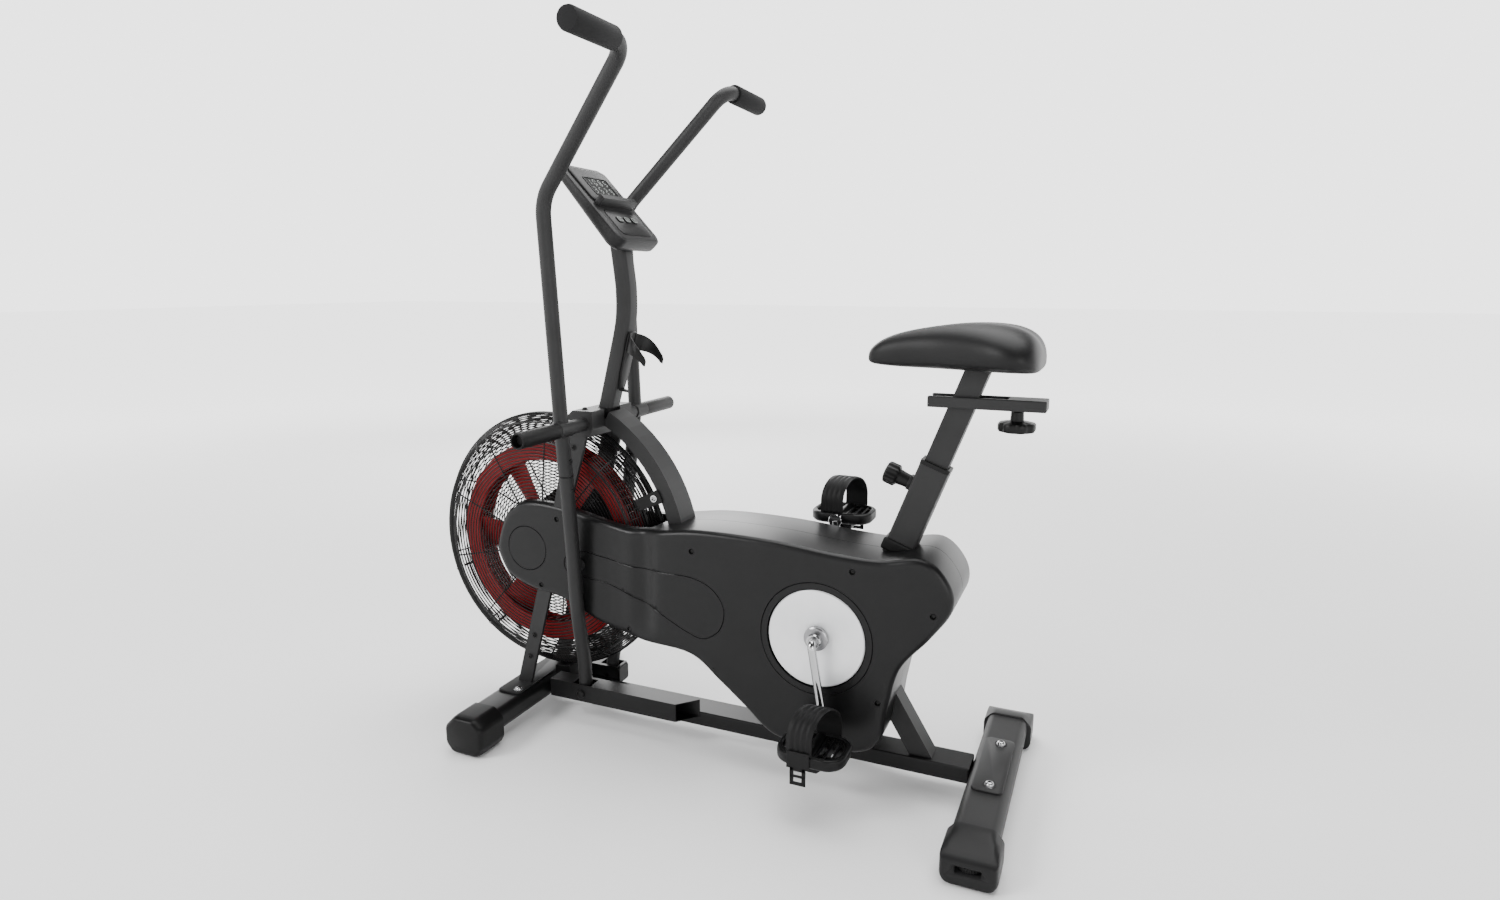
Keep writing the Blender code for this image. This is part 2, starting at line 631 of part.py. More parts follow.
# ---------------------------------------------------------------- fan and guard
def make_guard():
    outer = [(0.056, 1.0), (0.224, 1.0), (0.253, 0.66), (GUARD_RADIUS, 0.012)]
    for side in (-1, 1):
        face = [(r, w * GUARD_HALF_WIDTH) for r, w in outer]
        back = [(0.056, GUARD_HALF_WIDTH - GUARD_WALL), (0.223, GUARD_HALF_WIDTH - GUARD_WALL),
                (0.2512, 0.0320), (GUARD_RADIUS - GUARD_WALL, outer[-1][1] * GUARD_HALF_WIDTH)]
        pan = lathe(face + back[::-1], (FAN_X, 0, FAN_Z), (0, side, 0), 40)
        finish(pan, "guard_" + side_name(side), WIRE)


def make_fan():
    hub = cylinder(0.030, (FAN_X, -0.044, FAN_Z), (FAN_X, 0.044, FAN_Z), 24)
    ring = lathe([(FAN_RADIUS, 0.002), (FAN_RADIUS, -0.002), (FAN_RING_INNER, -0.002),
                  (FAN_RING_INNER, 0.002)], (FAN_X, 0, FAN_Z), (0, 1, 0), 40)
    join(hub, ring)
    for index in range(BLADES):
        turn = math.tau * index / BLADES
        blade = box((0.026, -FAN_HALF_WIDTH, -0.0012), (FAN_RADIUS - 0.004, FAN_HALF_WIDTH, 0.0012))
        bpy.context.view_layer.update()
        blade.matrix_world = (Matrix.Translation((FAN_X, 0, FAN_Z)) @ Matrix.Rotation(turn, 4, "Y")
                              @ blade.matrix_world)
        join(hub, blade)
    spigot = cylinder(0.014, (FAN_X, 0.040, FAN_Z), (FAN_X, BELT_Y[0], FAN_Z), 24)
    pulley = pulley_shape(DRIVEN_RADIUS, (FAN_X, FAN_Z), 0.0)
    join(hub, spigot, pulley)
    cut(hub, cylinder(0.0063, (FAN_X, -0.1, FAN_Z), (FAN_X, 0.1, FAN_Z), 24))
    finish(hub, "fan_wheel", RED)
    pivot("fan_spin", (FAN_X, 0, FAN_Z), hub)


def pulley_shape(radius, centre, bore):
    """A grooved wheel in the belt's plane."""
    low, high = BELT_Y
    rim, flange = radius + 0.002, 0.0008
    profile = [(bore, high + flange), (rim, high + flange), (rim, high + 0.0002),
               (radius, high + 0.0002), (radius, low - 0.0002), (rim, low - 0.0002),
               (rim, low - flange), (bore, low - flange)]
    return lathe(profile, (centre[0], 0, centre[1]), (0, 1, 0), 36)


def belt_outline(offset):
    """Open-belt path round both pulleys, as a closed outline."""
    big, small = Vector((CRANK_X, CRANK_Z)), Vector((FAN_X, FAN_Z))
    span = big - small
    heading = math.degrees(math.atan2(span.y, span.x))
    wrap = math.degrees(math.acos((DRIVE_RADIUS - DRIVEN_RADIUS) / span.length))
    front = arc(small, DRIVEN_RADIUS + offset, heading + 180 - wrap, heading + 180 + wrap, 12)
    rear = arc(big, DRIVE_RADIUS + offset, heading - 180 + wrap, heading + 180 - wrap, 26)
    return front + rear


def make_belt():
    loop = slab(belt_outline(GAP + BELT_THICK), *BELT_Y)
    hole = slab(belt_outline(GAP), BELT_Y[0] - 0.01, BELT_Y[1] + 0.01)
    finish(cut(loop, hole), "drive_belt", BELTING)


# ---------------------------------------------------------------- swing arms
def make_arms():
    """Each arm is a lever, a bolted-on handlebar, a foam grip and a foot peg."""
    for side in (-1, 1):
        name = side_name(side)
        lower = [Vector((x, side * y, z)) for x, y, z in [ARM_PIVOT] + ARM_LOWER]
        middle, elbow, corner, end = (Vector((x, side * y, z)) for x, y, z in
                                      (ARM_MIDDLE, ARM_ELBOW, ARM_CORNER, ARM_END))
        lever = round_tube(bent_path(lower, [0.06, 0.06, 0.06], 3), ARM_RADIUS)
        boss = cylinder(0.0145, (lower[0].x, side * 0.0365, lower[0].z),
                        (lower[0].x, side * 0.0635, lower[0].z), 24)
        pin_boss = cylinder(0.012, (ARM_PIN[0], side * 0.0985, ARM_PIN[1]),
                            (ARM_PIN[0], side * 0.0765, ARM_PIN[1]), 24)
        bolt_hole = cylinder(0.0053, (lower[0].x, side * 0.02, lower[0].z),
                             (lower[0].x, side * 0.1, lower[0].z), 20)
        finish(cut(join(lever, boss, pin_boss), bolt_hole), "lever_" + name, PAINT)
        joint = lower[-1]
        start = joint + (middle - joint).normalized() * GAP
        bar = round_tube(bent_path([start, middle, elbow, corner, end], [0.06, 0.075, 0.042]),
                         ARM_RADIUS)
        barrel = cylinder(BARREL_RADIUS, (BAR_X, side * BARREL_Y[0], BAR_Z),
                          (BAR_X, side * BARREL_Y[1], BAR_Z), 32)
        stub = cylinder(STUB_RADIUS, (BAR_X, side * 0.150, BAR_Z), (BAR_X, side * 0.262, BAR_Z), 24)
        finish(join(bar, barrel, stub), "handlebar_" + name, PAINT)
        begin, finish_y = PEG_Y
        inner = STUB_RADIUS + GAP
        peg = lathe([(PEG_RADIUS, begin), (PEG_RADIUS, finish_y - 0.002), (PEG_RADIUS - 0.002, finish_y),
                     (inner, finish_y), (inner, begin)], (BAR_X, 0, BAR_Z), (0, side, 0), 24)
        finish(peg, "foot_peg_" + name, RUBBER)
        out = (end - corner).normalized()
        hollow = ARM_RADIUS + GAP
        grip = lathe([(0.0, GRIP_LENGTH), (GRIP_RADIUS, GRIP_LENGTH), (GRIP_RADIUS, 0.0),
                      (hollow, 0.0), (hollow, GRIP_LENGTH - 0.006), (0.0, GRIP_LENGTH - 0.006)],
                     end - out * (GRIP_LENGTH - 0.0063), out, 24)
        finish(grip, "grip_" + name, RUBBER)
        pivots = [obj for obj in parts.objects if obj.name in
                  ("lever_" + name, "handlebar_" + name, "foot_peg_" + name, "grip_" + name)]
        pivot("arm_pivot_" + name, (ARM_PIVOT[0], side * ARM_PIVOT[1], ARM_PIVOT[2]), *pivots)


# ---------------------------------------------------------------- crank and pedals
def crank_end(side):
    """Pedal spindle point (X, Z): the left crank points down, the right one up."""
    swing = math.radians(CRANK_ANGLE)
    sign = 1 if side < 0 else -1
    return (CRANK_X + sign * CRANK_LENGTH * math.sin(swing),
            CRANK_Z - sign * CRANK_LENGTH * math.cos(swing))


def capsule(start, end, start_radius, end_radius, steps=8):
    """Outline of two circles and their common sides."""
    run = Vector(end) - Vector(start)
    heading = math.degrees(math.atan2(run.y, run.x))
    return (arc(start, start_radius, heading + 90, heading + 270, steps)
            + arc(end, end_radius, heading - 90, heading + 90, steps))


def make_crank():
    spin = pivot("crank_spin", (CRANK_X, 0, CRANK_Z))
    pieces = []
    axle = cylinder(AXLE_RADIUS, (CRANK_X, -CRANK_Y[0] + GAP, CRANK_Z),
                    (CRANK_X, CRANK_Y[0] - GAP, CRANK_Z), 24)
    pieces.append(finish(axle, "crank_axle", STEEL))
    pulley = pulley_shape(DRIVE_RADIUS, (CRANK_X, CRANK_Z), AXLE_RADIUS + GAP)
    pieces.append(finish(pulley, "drive_pulley", TRIM))
    for side in (-1, 1):
        name = side_name(side)
        near, far = DISC_Y
        disc = lathe([(0.0, far - 0.005), (0.030, far - 0.005), (0.070, far),
                      (DISC_RADIUS, far), (DISC_RADIUS, near + 0.0015), (0.070, near + 0.0015),
                      (0.030, near - 0.0035), (0.0, near - 0.0035)],
                     (CRANK_X, 0, CRANK_Z), (0, side, 0), 36)
        tip = crank_end(side)
        toward = (Vector(tip) - Vector((CRANK_X, CRANK_Z))).normalized()
        offset = Vector((CRANK_X, CRANK_Z)) + Vector((toward.y, -toward.x)) * ECCENTRIC
        sheave = cylinder(SHEAVE_RADIUS, (offset.x, side * (LINK_Y[0] - 0.0005), offset.y),
                          (offset.x, side * 0.0835, offset.y), 28)
        bore = cylinder(AXLE_RADIUS + GAP, (CRANK_X, -0.2, CRANK_Z), (CRANK_X, 0.2, CRANK_Z), 24)
        pieces.append(finish(cut(join(disc, sheave), bore), "crank_disc_" + name, SILVER))
        arm = slab(capsule((CRANK_X, CRANK_Z), tip, 0.016, 0.012), *sided(side, CRANK_Y))
        spindle = cylinder(0.0070, (tip[0], side * 0.112, tip[1]), (tip[0], side * 0.208, tip[1]), 20)
        pieces.append(finish(join(arm, spindle), "crank_arm_" + name, CHROME))
        make_pedal(side, tip, spin)
        make_link(side, offset, spin)
    for obj in pieces:
        obj.parent = spin
        obj.matrix_parent_inverse = spin.matrix_world.inverted()


def make_pedal(side, tip, spin):
    name = side_name(side)
    length, width, height = PEDAL_SIZE
    y = side * PEDAL_Y
    outline = rounded_box((tip[0] - length / 2, y - width / 2), (tip[0] + length / 2, y + width / 2),
                          PEDAL_CORNER, 5)
    body = slab(outline, tip[1] - height / 2, tip[1] + height / 2, axis="Z")
    weight = slab([(tip[0] - 0.022, tip[1] - 0.008), (tip[0] + 0.022, tip[1] - 0.008),
                   (tip[0] + 0.017, tip[1] - 0.030), (tip[0] + 0.008, tip[1] - 0.036),
                   (tip[0] - 0.008, tip[1] - 0.036), (tip[0] - 0.017, tip[1] - 0.030)],
                  y - 0.015, y + 0.015)
    join(body, weight)
    bore = cylinder(0.0073, (tip[0], side * 0.10, tip[1]), (tip[0], side * 0.2085, tip[1]), 20)
    cut(body, bore)
    for step in (-1, 1):
        window = box((tip[0] + step * 0.037 - 0.013, y - width / 2 + 0.014, tip[1] - 0.05),
                     (tip[0] + step * 0.037 + 0.013, y + width / 2 - 0.014, tip[1] + 0.05))
        cut(body, window)
    finish(body, "pedal_" + name, TRIM)
    # strap: a broad band that arches over the shoe, set a little askew, its feet on the two edges
    half, top, band = width / 2 - 0.002, STRAP_TOP, 0.0025
    base = tip[1] + height / 2 + GAP
    outer = ([(y - half, base)] + arc((y, tip[1] + top - half), half, 180, 0, 14) + [(y + half, base)])
    inner_half = half - band
    inner = ([(y + inner_half, base)] + arc((y, tip[1] + top - half), inner_half, 0, 180, 14)
             + [(y - inner_half, base)])
    strap = slab(outer + inner, tip[0] - STRAP_WIDTH / 2, tip[0] + STRAP_WIDTH / 2, axis="X")
    for vertex in strap.data.vertices:      # the band's own axes: across, up, along
        vertex.co.z += STRAP_SKEW * (vertex.co.x - y)
    finish(strap, "toe_strap_" + name, TRIM)
    pivot("pedal_axis_" + name, (tip[0], y, tip[1]), body, strap, parent=spin)


def make_link(side, offset, spin):
    """Link rod: its ring runs on the crank's eccentric, its small eye reaches the arm's pin."""
    name = side_name(side)
    start = (offset.x, offset.y)
    eye = (ARM_PIN[0] + (ROD_SHORTER if side > 0 else 0.0), ARM_PIN[1])
    low, high = sided(side, LINK_Y)
    ring = cylinder(SHEAVE_RADIUS + 0.009, (start[0], low, start[1]), (start[0], high, start[1]), 28)
    rod = slab(capsule(start, eye, 0.014, 0.012), low, high)
    big = cylinder(SHEAVE_RADIUS + GAP, (start[0], -0.2, start[1]), (start[0], 0.2, start[1]), 28)
    small = cylinder(0.0060, (eye[0], -0.2, eye[1]), (eye[0], 0.2, eye[1]), 16)
    finish(cut(join(ring, rod), big, small), "link_rod_" + name, STEEL)
    pivot("link_axis_" + name, (start[0], side * LINK_Y[0], start[1]), parts.objects["link_rod_" + name],
          parent=spin)


# ---------------------------------------------------------------- seat
def seat_point(along, out=0.0):
    """A point (X, Z) on the seat tube's axis, measured down from its mouth."""
    direction = Vector((math.sin(SEAT_TILT), math.cos(SEAT_TILT)))
    front = Vector((-math.cos(SEAT_TILT), math.sin(SEAT_TILT)))
    return tuple(Vector(SEAT_TOP) - direction * along + front * out)


def seat_block(across, deep, upper, lower):
    """A solid bar on the seat tube's axis between two distances from the mouth."""
    start, end = Vector(seat_point(upper)), Vector(seat_point(lower))
    run = (end - start).length
    bar = box((-deep / 2, -across / 2, -run / 2), (deep / 2, across / 2, run / 2))
    middle = (start + end) / 2
    bar.location = (middle.x, 0, middle.y)
    bar.rotation_euler = (0.0, SEAT_TILT, 0.0)
    return bar


def make_seat_tube():
    tube = seat_block(SEAT_TUBE_Y, SEAT_TUBE_SIZE, 0.0, SEAT_TUBE_LENGTH)
    soften(tube, 0.004)
    bore = seat_block(POST_Y + 2 * GAP + 0.0004, POST_SIZE + 2 * GAP + 0.0004, -0.05, SEAT_TUBE_LENGTH + 0.05)
    foot = box((0.0, -0.1, -0.1), (0.6, 0.1, RAIL_TOP + GAP))
    pin_x, pin_z = seat_point(0.050, 0.0)
    front = Vector((-math.cos(SEAT_TILT), 0, math.sin(SEAT_TILT)))
    pin_hole = cylinder(0.0063, Vector((pin_x, 0, pin_z)), Vector((pin_x, 0, pin_z)) + front * 0.08, 20)
    finish(cut(tube, bore, foot, pin_hole), "seat_tube", PAINT)
    collar = seat_block(0.050, 0.063, 0.155, 0.178)
    soften(collar, 0.004, 3)
    hole = seat_block(SEAT_TUBE_Y + 2 * GAP, SEAT_TUBE_SIZE + 2 * GAP, 0.1, 0.3)
    under = slab(inset(cover_outline(), -GAP), -0.1, 0.1)
    finish(cut(collar, hole, under), "seat_tube_collar", TRIM)


def make_seat_post():
    post = seat_block(POST_Y, POST_SIZE, -0.1225, 0.170)
    low, high = CHANNEL_Z
    under = box((0.3, -0.1, low + 0.001), (0.8, 0.1, 0.9))
    cut(post, under)
    # horizontal channel welded on the post's top, open upwards for the saddle stem
    sleeve = box((CHANNEL_X[0], -0.025, low), (CHANNEL_X[1], 0.025, high))
    soften(sleeve, 0.002)
    tunnel = box((CHANNEL_X[0] - 0.1, -0.022, low + 0.003), (CHANNEL_X[1] - 0.003, 0.022, high - 0.003))
    slot = box((CHANNEL_X[0] - 0.1, -0.017, low + 0.01), (0.574, 0.017, high + 0.01))
    screw_hole = cylinder(0.0060, (SLIDE_KNOB_X, 0, low - 0.02), (SLIDE_KNOB_X, 0, low + 0.004), 20)
    bore = seat_block(POST_Y - 2 * TUBE_WALL, POST_SIZE - 2 * TUBE_WALL, -0.2, 0.25)
    cut(bore, box((0.3, -0.1, low), (0.8, 0.1, 0.9)))
    finish(cut(join(post, sleeve), bore, tunnel, slot, screw_hole), "seat_post", PAINT)
    slide = box((0.452, -0.0215, low + 0.0035), (0.570, 0.0215, high - 0.0035))
    stem = seat_block(0.030, 0.040, -0.181, -0.118)
    cut(stem, box((0.40, -0.1, 0.7785), (0.60, 0.1, 0.90)), box((0.40, -0.1, 0.60), (0.60, 0.1, 0.721)))
    finish(join(slide, stem), "saddle_slide", PAINT)
    knob = lathe([(0.0, 0.041), (0.0280, 0.041), (0.0315, 0.038), (0.0315, 0.024), (0.0115, 0.022),
                  (0.0100, 0.006), (0.0055, 0.006), (0.0055, 0.0005), (0.0, 0.0005)],
                 (SLIDE_KNOB_X, 0, low + 0.0030), (0, 0, -1), 24)
    finish(knob, "slide_knob", TRIM)
    return post, slide, knob


def saddle_sections():
    """Stations along the saddle: X, half width, top Z, bottom Z."""
    return [(0.333, 0.012, 0.806, 0.790), (0.350, 0.024, 0.826, 0.785), (0.390, 0.032, 0.842, 0.7815),
            (0.440, 0.044, 0.851, 0.7800), (0.490, 0.066, 0.856, 0.7795), (0.540, 0.096, 0.859, 0.7795),
            (0.580, 0.110, 0.855, 0.7800), (0.612, 0.098, 0.838, 0.7830), (0.625, 0.070, 0.818, 0.7900)]


def make_saddle():
    """A padded saddle as one closed loft with rounded sides."""
    shape = bmesh.new()
    rings = []
    for x, half, top, bottom in saddle_sections():
        middle, rise = (top + bottom) / 2, (top - bottom) / 2
        ring = []
        for step in range(14):
            a = math.tau * step / 14
            across = half * math.copysign(abs(math.cos(a)) ** 0.7, math.cos(a))
            up = rise * math.copysign(abs(math.sin(a)) ** 0.7, math.sin(a))
            ring.append(shape.verts.new((x, across, middle + up)))
        rings.append(ring)
    for first, second in zip(rings, rings[1:]):
        for i in range(14):
            j = (i + 1) % 14
            shape.faces.new((first[i], first[j], second[j], second[i]))
    shape.faces.new(rings[0])
    shape.faces.new(rings[-1][::-1])
    bmesh.ops.recalc_face_normals(shape, faces=shape.faces)
    mesh = bpy.data.meshes.new("saddle")
    shape.to_mesh(mesh)
    shape.free()
    saddle = bpy.data.objects.new("saddle", mesh)
    bpy.context.scene.collection.objects.link(saddle)
    return finish(saddle, "saddle", VINYL)


def make_pin_knob():
    """Spring-loaded pin in the front of the seat tube; it stops just short of the post."""
    base_x, base_z = seat_point(0.050, SEAT_TUBE_SIZE / 2)
    front = Vector((-math.cos(SEAT_TILT), 0, math.sin(SEAT_TILT)))
    base = Vector((base_x, 0, base_z))
    knob = lathe([(0.0, 0.052), (0.0170, 0.052), (0.0200, 0.048), (0.0200, 0.030), (0.0150, 0.028),
                  (0.0130, 0.012), (0.0130, GAP), (0.0058, GAP), (0.0052, -0.0042), (0.0, -0.0042)],
                 base, front, 28)
    finish(knob, "pin_knob", TRIM)
    pivot("pin_knob_axis", base, knob)


def make_seat():
    make_seat_tube()
    post, slide, knob = make_seat_post()
    saddle = make_saddle()
    make_pin_knob()
    post_axis = pivot("seat_post_axis", (SEAT_TOP[0], 0, SEAT_TOP[1]), post)
    pivot("saddle_slide_axis", (0.50, 0, 0.7235), slide, saddle, parent=post_axis)
    pivot("slide_knob_axis", (SLIDE_KNOB_X, 0, 0.70), knob, parent=post_axis)


# ---------------------------------------------------------------- inner frame and covers
def brace_bar(grow=0.0, upper=0.0):
    """The rear brace between the rail and the seat tube."""
    start, end = Vector((0.454, RAIL_TOP)), Vector((0.350, 0.235))
    run = end - start
    bar = box((-0.018 - grow, -0.020 - grow, -run.length / 2 - 0.03),
              (0.018 + grow, 0.020 + grow, run.length / 2 + upper))
    middle = (start + end) / 2
    bar.location = (middle.x, 0, middle.y)
    bar.rotation_euler = (0.0, math.atan2(run.x, run.y), 0.0)
    return bar


def make_inner_frame():
    brace = brace_bar(0.0, 0.02)
    bore = brace_bar(-TUBE_WALL, 0.20)
    floor = box((0.2, -0.1, -0.1), (0.7, 0.1, RAIL_TOP + GAP))
    seat = seat_block(SEAT_TUBE_Y + 0.1, SEAT_TUBE_SIZE + 2 * GAP, 0.0, 0.62)
    beyond = box((0.0, -0.1, 0.18), (0.325, 0.1, 0.40))
    finish(cut(brace, bore, floor, seat, beyond), "rear_brace", PAINT)
    shell = lathe([(0.0090, 0.034), (0.0200, 0.034), (0.0200, -0.034), (0.0090, -0.034)],
                  (CRANK_X, 0, CRANK_Z), (0, 1, 0), 32)
    web = box((CRANK_X + 0.015, -0.006, CRANK_Z - 0.02), (0.36, 0.006, CRANK_Z + 0.02))
    clear = seat_block(SEAT_TUBE_Y + 0.1, SEAT_TUBE_SIZE + 2 * GAP, 0.0, 0.62)
    beyond_web = box((0.34, -0.1, 0.2), (0.5, 0.1, 0.4))
    cut(web, clear, beyond_web)
    finish(join(shell, web), "crank_bearing_shell", PAINT)


def cover_outline():
    """Side view of the covers: a round nose over the fan axle, a long body and a round tail."""
    points = [(-0.449, 0.376), (-0.430, 0.432), (-0.405, 0.460), (-0.365, 0.4785), (-0.280, 0.475),
              (-0.140, 0.448), (-0.062, 0.453), (0.035, 0.464), (0.177, 0.4625), (0.300, 0.452),
              (0.383, 0.450), (0.460, 0.461), (0.504, 0.422), (0.510, 0.375), (0.474, 0.319),
              (0.424, 0.255), (0.405, 0.180), (0.3925, 0.114), (0.356, 0.082), (0.280, 0.075),
              (0.190, 0.080), (0.127, 0.128), (0.075, 0.169), (0.011, 0.213), (-0.101, 0.222),
              (-0.194, 0.238), (-0.289, 0.277), (-0.364, 0.289), (-0.420, 0.312), (-0.4395, 0.340)]
    return smooth_loop(points, 3)


def lobe_room(shrink=0.0):
    """The space beside the covers' narrow front lobe, on both sides, to be cut away."""
    near, far = LOBE_X
    pieces = []
    for side in (-1, 1):
        outline = [(-0.60, side * (LOBE_HALF - shrink)), (near + shrink, side * (LOBE_HALF - shrink)),
                   (far + shrink, side * 0.20), (-0.60, side * 0.20)]
        pieces.append(slab(outline, 0.20, 0.55, axis="Z"))
    return pieces


def make_covers():
    outline = cover_outline()
    for side in (-1, 1):
        shell = slab(outline, *sided(side, (GAP / 2, COVER_HALF)))
        hollow = slab(inset(outline, COVER_WALL), *sided(side, (-0.01, COVER_HALF - COVER_WALL)))
        round_wall = cylinder(GUARD_RADIUS + 0.0092, (FAN_X, -INNER_WALL_Y - COVER_WALL, FAN_Z),
                              (FAN_X, INNER_WALL_Y + COVER_WALL, FAN_Z), 48)
        cut(hollow, round_wall, *lobe_room(COVER_WALL))
        fan_space = cylinder(GUARD_RADIUS + 0.007, (FAN_X, -INNER_WALL_Y, FAN_Z),
                             (FAN_X, INNER_WALL_Y, FAN_Z), 48)
        hub_hole = cylinder(0.030, (FAN_X, -0.06, FAN_Z), (FAN_X, 0.06, FAN_Z), 32)
        disc_hole = cylinder(DISC_RADIUS + 0.002, (CRANK_X, side * 0.08, CRANK_Z),
                             (CRANK_X, side * 0.1, CRANK_Z), 36)
        fork_slot = slab(fork_outline(0.001), *sided(side, (FORK_Y[0] - 0.001, FORK_Y[1] + 0.001)))
        seat_slot = seat_block(SEAT_TUBE_Y + 0.001, SEAT_TUBE_SIZE + 0.001, -0.1, 0.62)
        brace_slot = brace_bar(0.0005, 0.05)
        cut(shell, *lobe_room(), hollow, fan_space, hub_hole, disc_hole, fork_slot, seat_slot,
            brace_slot, arch_solid(0.0005, 4.0))
        finish(shell, "cover_" + side_name(side), PLASTIC)


make_base()
make_forks()
make_arch()
make_top_bracket()
make_mast()
make_bottle_cage()
make_console()
make_guard()
make_fan()
make_belt()
make_arms()
make_crank()
make_seat()
make_inner_frame()
make_covers()
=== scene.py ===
"""Looks of the air bike: camera, light, floor, materials and the detailed pieces."""
import json
import math

import bmesh
import bpy
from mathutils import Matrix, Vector
from mathutils.geometry import delaunay_2d_cdt


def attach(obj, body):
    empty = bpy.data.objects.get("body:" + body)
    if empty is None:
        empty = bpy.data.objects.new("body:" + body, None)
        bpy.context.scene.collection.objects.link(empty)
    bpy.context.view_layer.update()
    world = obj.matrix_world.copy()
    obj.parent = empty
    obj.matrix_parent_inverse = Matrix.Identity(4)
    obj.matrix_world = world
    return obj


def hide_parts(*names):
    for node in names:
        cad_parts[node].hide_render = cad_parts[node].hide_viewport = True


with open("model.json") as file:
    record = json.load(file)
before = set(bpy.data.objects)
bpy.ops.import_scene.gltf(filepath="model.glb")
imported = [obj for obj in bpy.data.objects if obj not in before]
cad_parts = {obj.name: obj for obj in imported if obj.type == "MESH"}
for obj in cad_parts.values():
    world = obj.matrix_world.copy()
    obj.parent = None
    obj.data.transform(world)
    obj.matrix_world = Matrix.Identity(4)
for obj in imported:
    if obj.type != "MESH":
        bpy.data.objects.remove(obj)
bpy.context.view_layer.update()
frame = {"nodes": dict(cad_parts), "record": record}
scene = bpy.context.scene

# ---------------------------------------------------------------- camera, floor, light
camera = bpy.data.objects.new("camera", bpy.data.cameras.new("camera"))
scene.collection.objects.link(camera)
camera.location = (0.7487, -1.4993, 0.925)
camera.rotation_euler = (math.radians(79.04), 0.0, math.radians(23.28))
camera.data.sensor_width = 36.0
camera.data.lens = 20.98
camera.data.clip_start = 0.01
scene.camera = camera


def set_inputs(node, **values):
    """Set the inputs of a node; an underscore stands for a space."""
    for key, value in values.items():
        node.inputs[key.replace("_", " ")].default_value = value
    return node


def add_node(tree, kind, **values):
    return set_inputs(tree.nodes.new("ShaderNode" + kind), **values)


def colour_ramp(tree, source, target, dark, light, low=0.0, high=1.0):
    """Feed a colour input with two colours spread over a value."""
    ramp = add_node(tree, "ValToRGB")
    for stop, position, colour in zip(ramp.color_ramp.elements, (low, high), (dark, light)):
        stop.position = position
        stop.color = (*colour, 1)
    tree.links.new(source, ramp.inputs["Fac"])
    tree.links.new(ramp.outputs["Color"], target)


def smooth_range(tree, source, low, high, first, last):
    """Carry a value smoothly from one range over to another."""
    step = add_node(tree, "MapRange", From_Min=low, From_Max=high, To_Min=first, To_Max=last)
    step.interpolation_type = "SMOOTHSTEP"
    tree.links.new(source, step.inputs["Value"])
    return step.outputs["Result"]


def floor_material():
    made = bpy.data.materials.new("floor")
    made.use_nodes = True
    tree = made.node_tree
    shader = set_inputs(tree.nodes["Principled BSDF"], Roughness=0.9, Emission_Color=(1, 1, 1, 1))
    coords = add_node(tree, "TexCoord")
    noise = add_node(tree, "TexNoise", Scale=2.0)
    tree.links.new(coords.outputs["Object"], noise.inputs["Vector"])
    colour_ramp(tree, noise.outputs["Fac"], shader.inputs["Base Color"], (0.9, 0.9, 0.9),
        (0.93, 0.93, 0.93))
    # far away the floor brightens into the backdrop
    reach = add_node(tree, "VectorMath")
    reach.operation = "LENGTH"
    tree.links.new(coords.outputs["Object"], reach.inputs[0])
    glow = smooth_range(tree, reach.outputs["Value"], 0.9, 6.0, 0.0, 2.3)
    tree.links.new(glow, shader.inputs["Emission Strength"])
    return made


FLOOR_EDGE = 30.0
LIGHTS = (  # name, place, aim, size, power
    ("key", (-2.2, -2.4, 2.6), (0, 0, 0.5), 1.4, 110),
    ("fill", (2.6, -2.4, 1.5), (0.1, 0, 0.4), 1.6, 30),
    ("top", (0.3, 0.7, 3.4), (0, 0, 0.3), 3.2, 190),
    ("back", (-1.8, 2.6, 1.9), (0, 0, 0.6), 1.8, 60),
)


def make_floor():
    """A wide flat floor just under the object."""
    mesh = bpy.data.meshes.new("floor")
    corners = [(a * FLOOR_EDGE, b * FLOOR_EDGE, 0) for a, b in ((-1, -1), (1, -1), (1, 1), (-1, 1))]
    mesh.from_pydata(corners, [], [(0, 1, 2, 3)])
    floor = bpy.data.objects.new("floor", mesh)
    scene.collection.objects.link(floor)
    floor.location = (0, 0, -0.0008)
    mesh.materials.append(floor_material())


def make_lights():
    for name, place, aim, size, power in LIGHTS:
        light = bpy.data.lights.new(name, "AREA")
        light.size = size
        light.energy = power
        lamp = bpy.data.objects.new(name, light)
        scene.collection.objects.link(lamp)
        lamp.location = place
        lamp.rotation_euler = (Vector(aim) - Vector(place)).to_track_quat("-Z", "Y").to_euler()


def make_surround():
    """A bright backdrop behind the object and a dim room in front of it."""
    world = bpy.data.worlds.new("surround")
    world.use_nodes = True
    tree = world.node_tree
    coords = add_node(tree, "TexCoord")
    behind = add_node(tree, "VectorMath")
    behind.operation = "DOT_PRODUCT"
    behind.inputs[1].default_value = (-0.4, 0.92, 0.0)
    rise = add_node(tree, "SeparateXYZ")
    tree.links.new(coords.outputs["Generated"], behind.inputs[0])
    tree.links.new(coords.outputs["Generated"], rise.inputs["Vector"])
    level = add_node(tree, "Math")
    level.operation = "MULTIPLY_ADD"
    level.inputs[2].default_value = 0.12
    bright = smooth_range(tree, behind.outputs["Value"], 0.1, 0.7, 1.7, 2.9)
    low = smooth_range(tree, rise.outputs["Z"], 0.27, 0.44, 1.0, 0.0)
    tree.links.new(bright, level.inputs[0])
    tree.links.new(low, level.inputs[1])
    background = set_inputs(tree.nodes["Background"], Color=(1.0, 1.0, 1.0, 1))
    tree.links.new(level.outputs["Value"], background.inputs["Strength"])
    scene.world = world


make_floor()
make_lights()
make_surround()


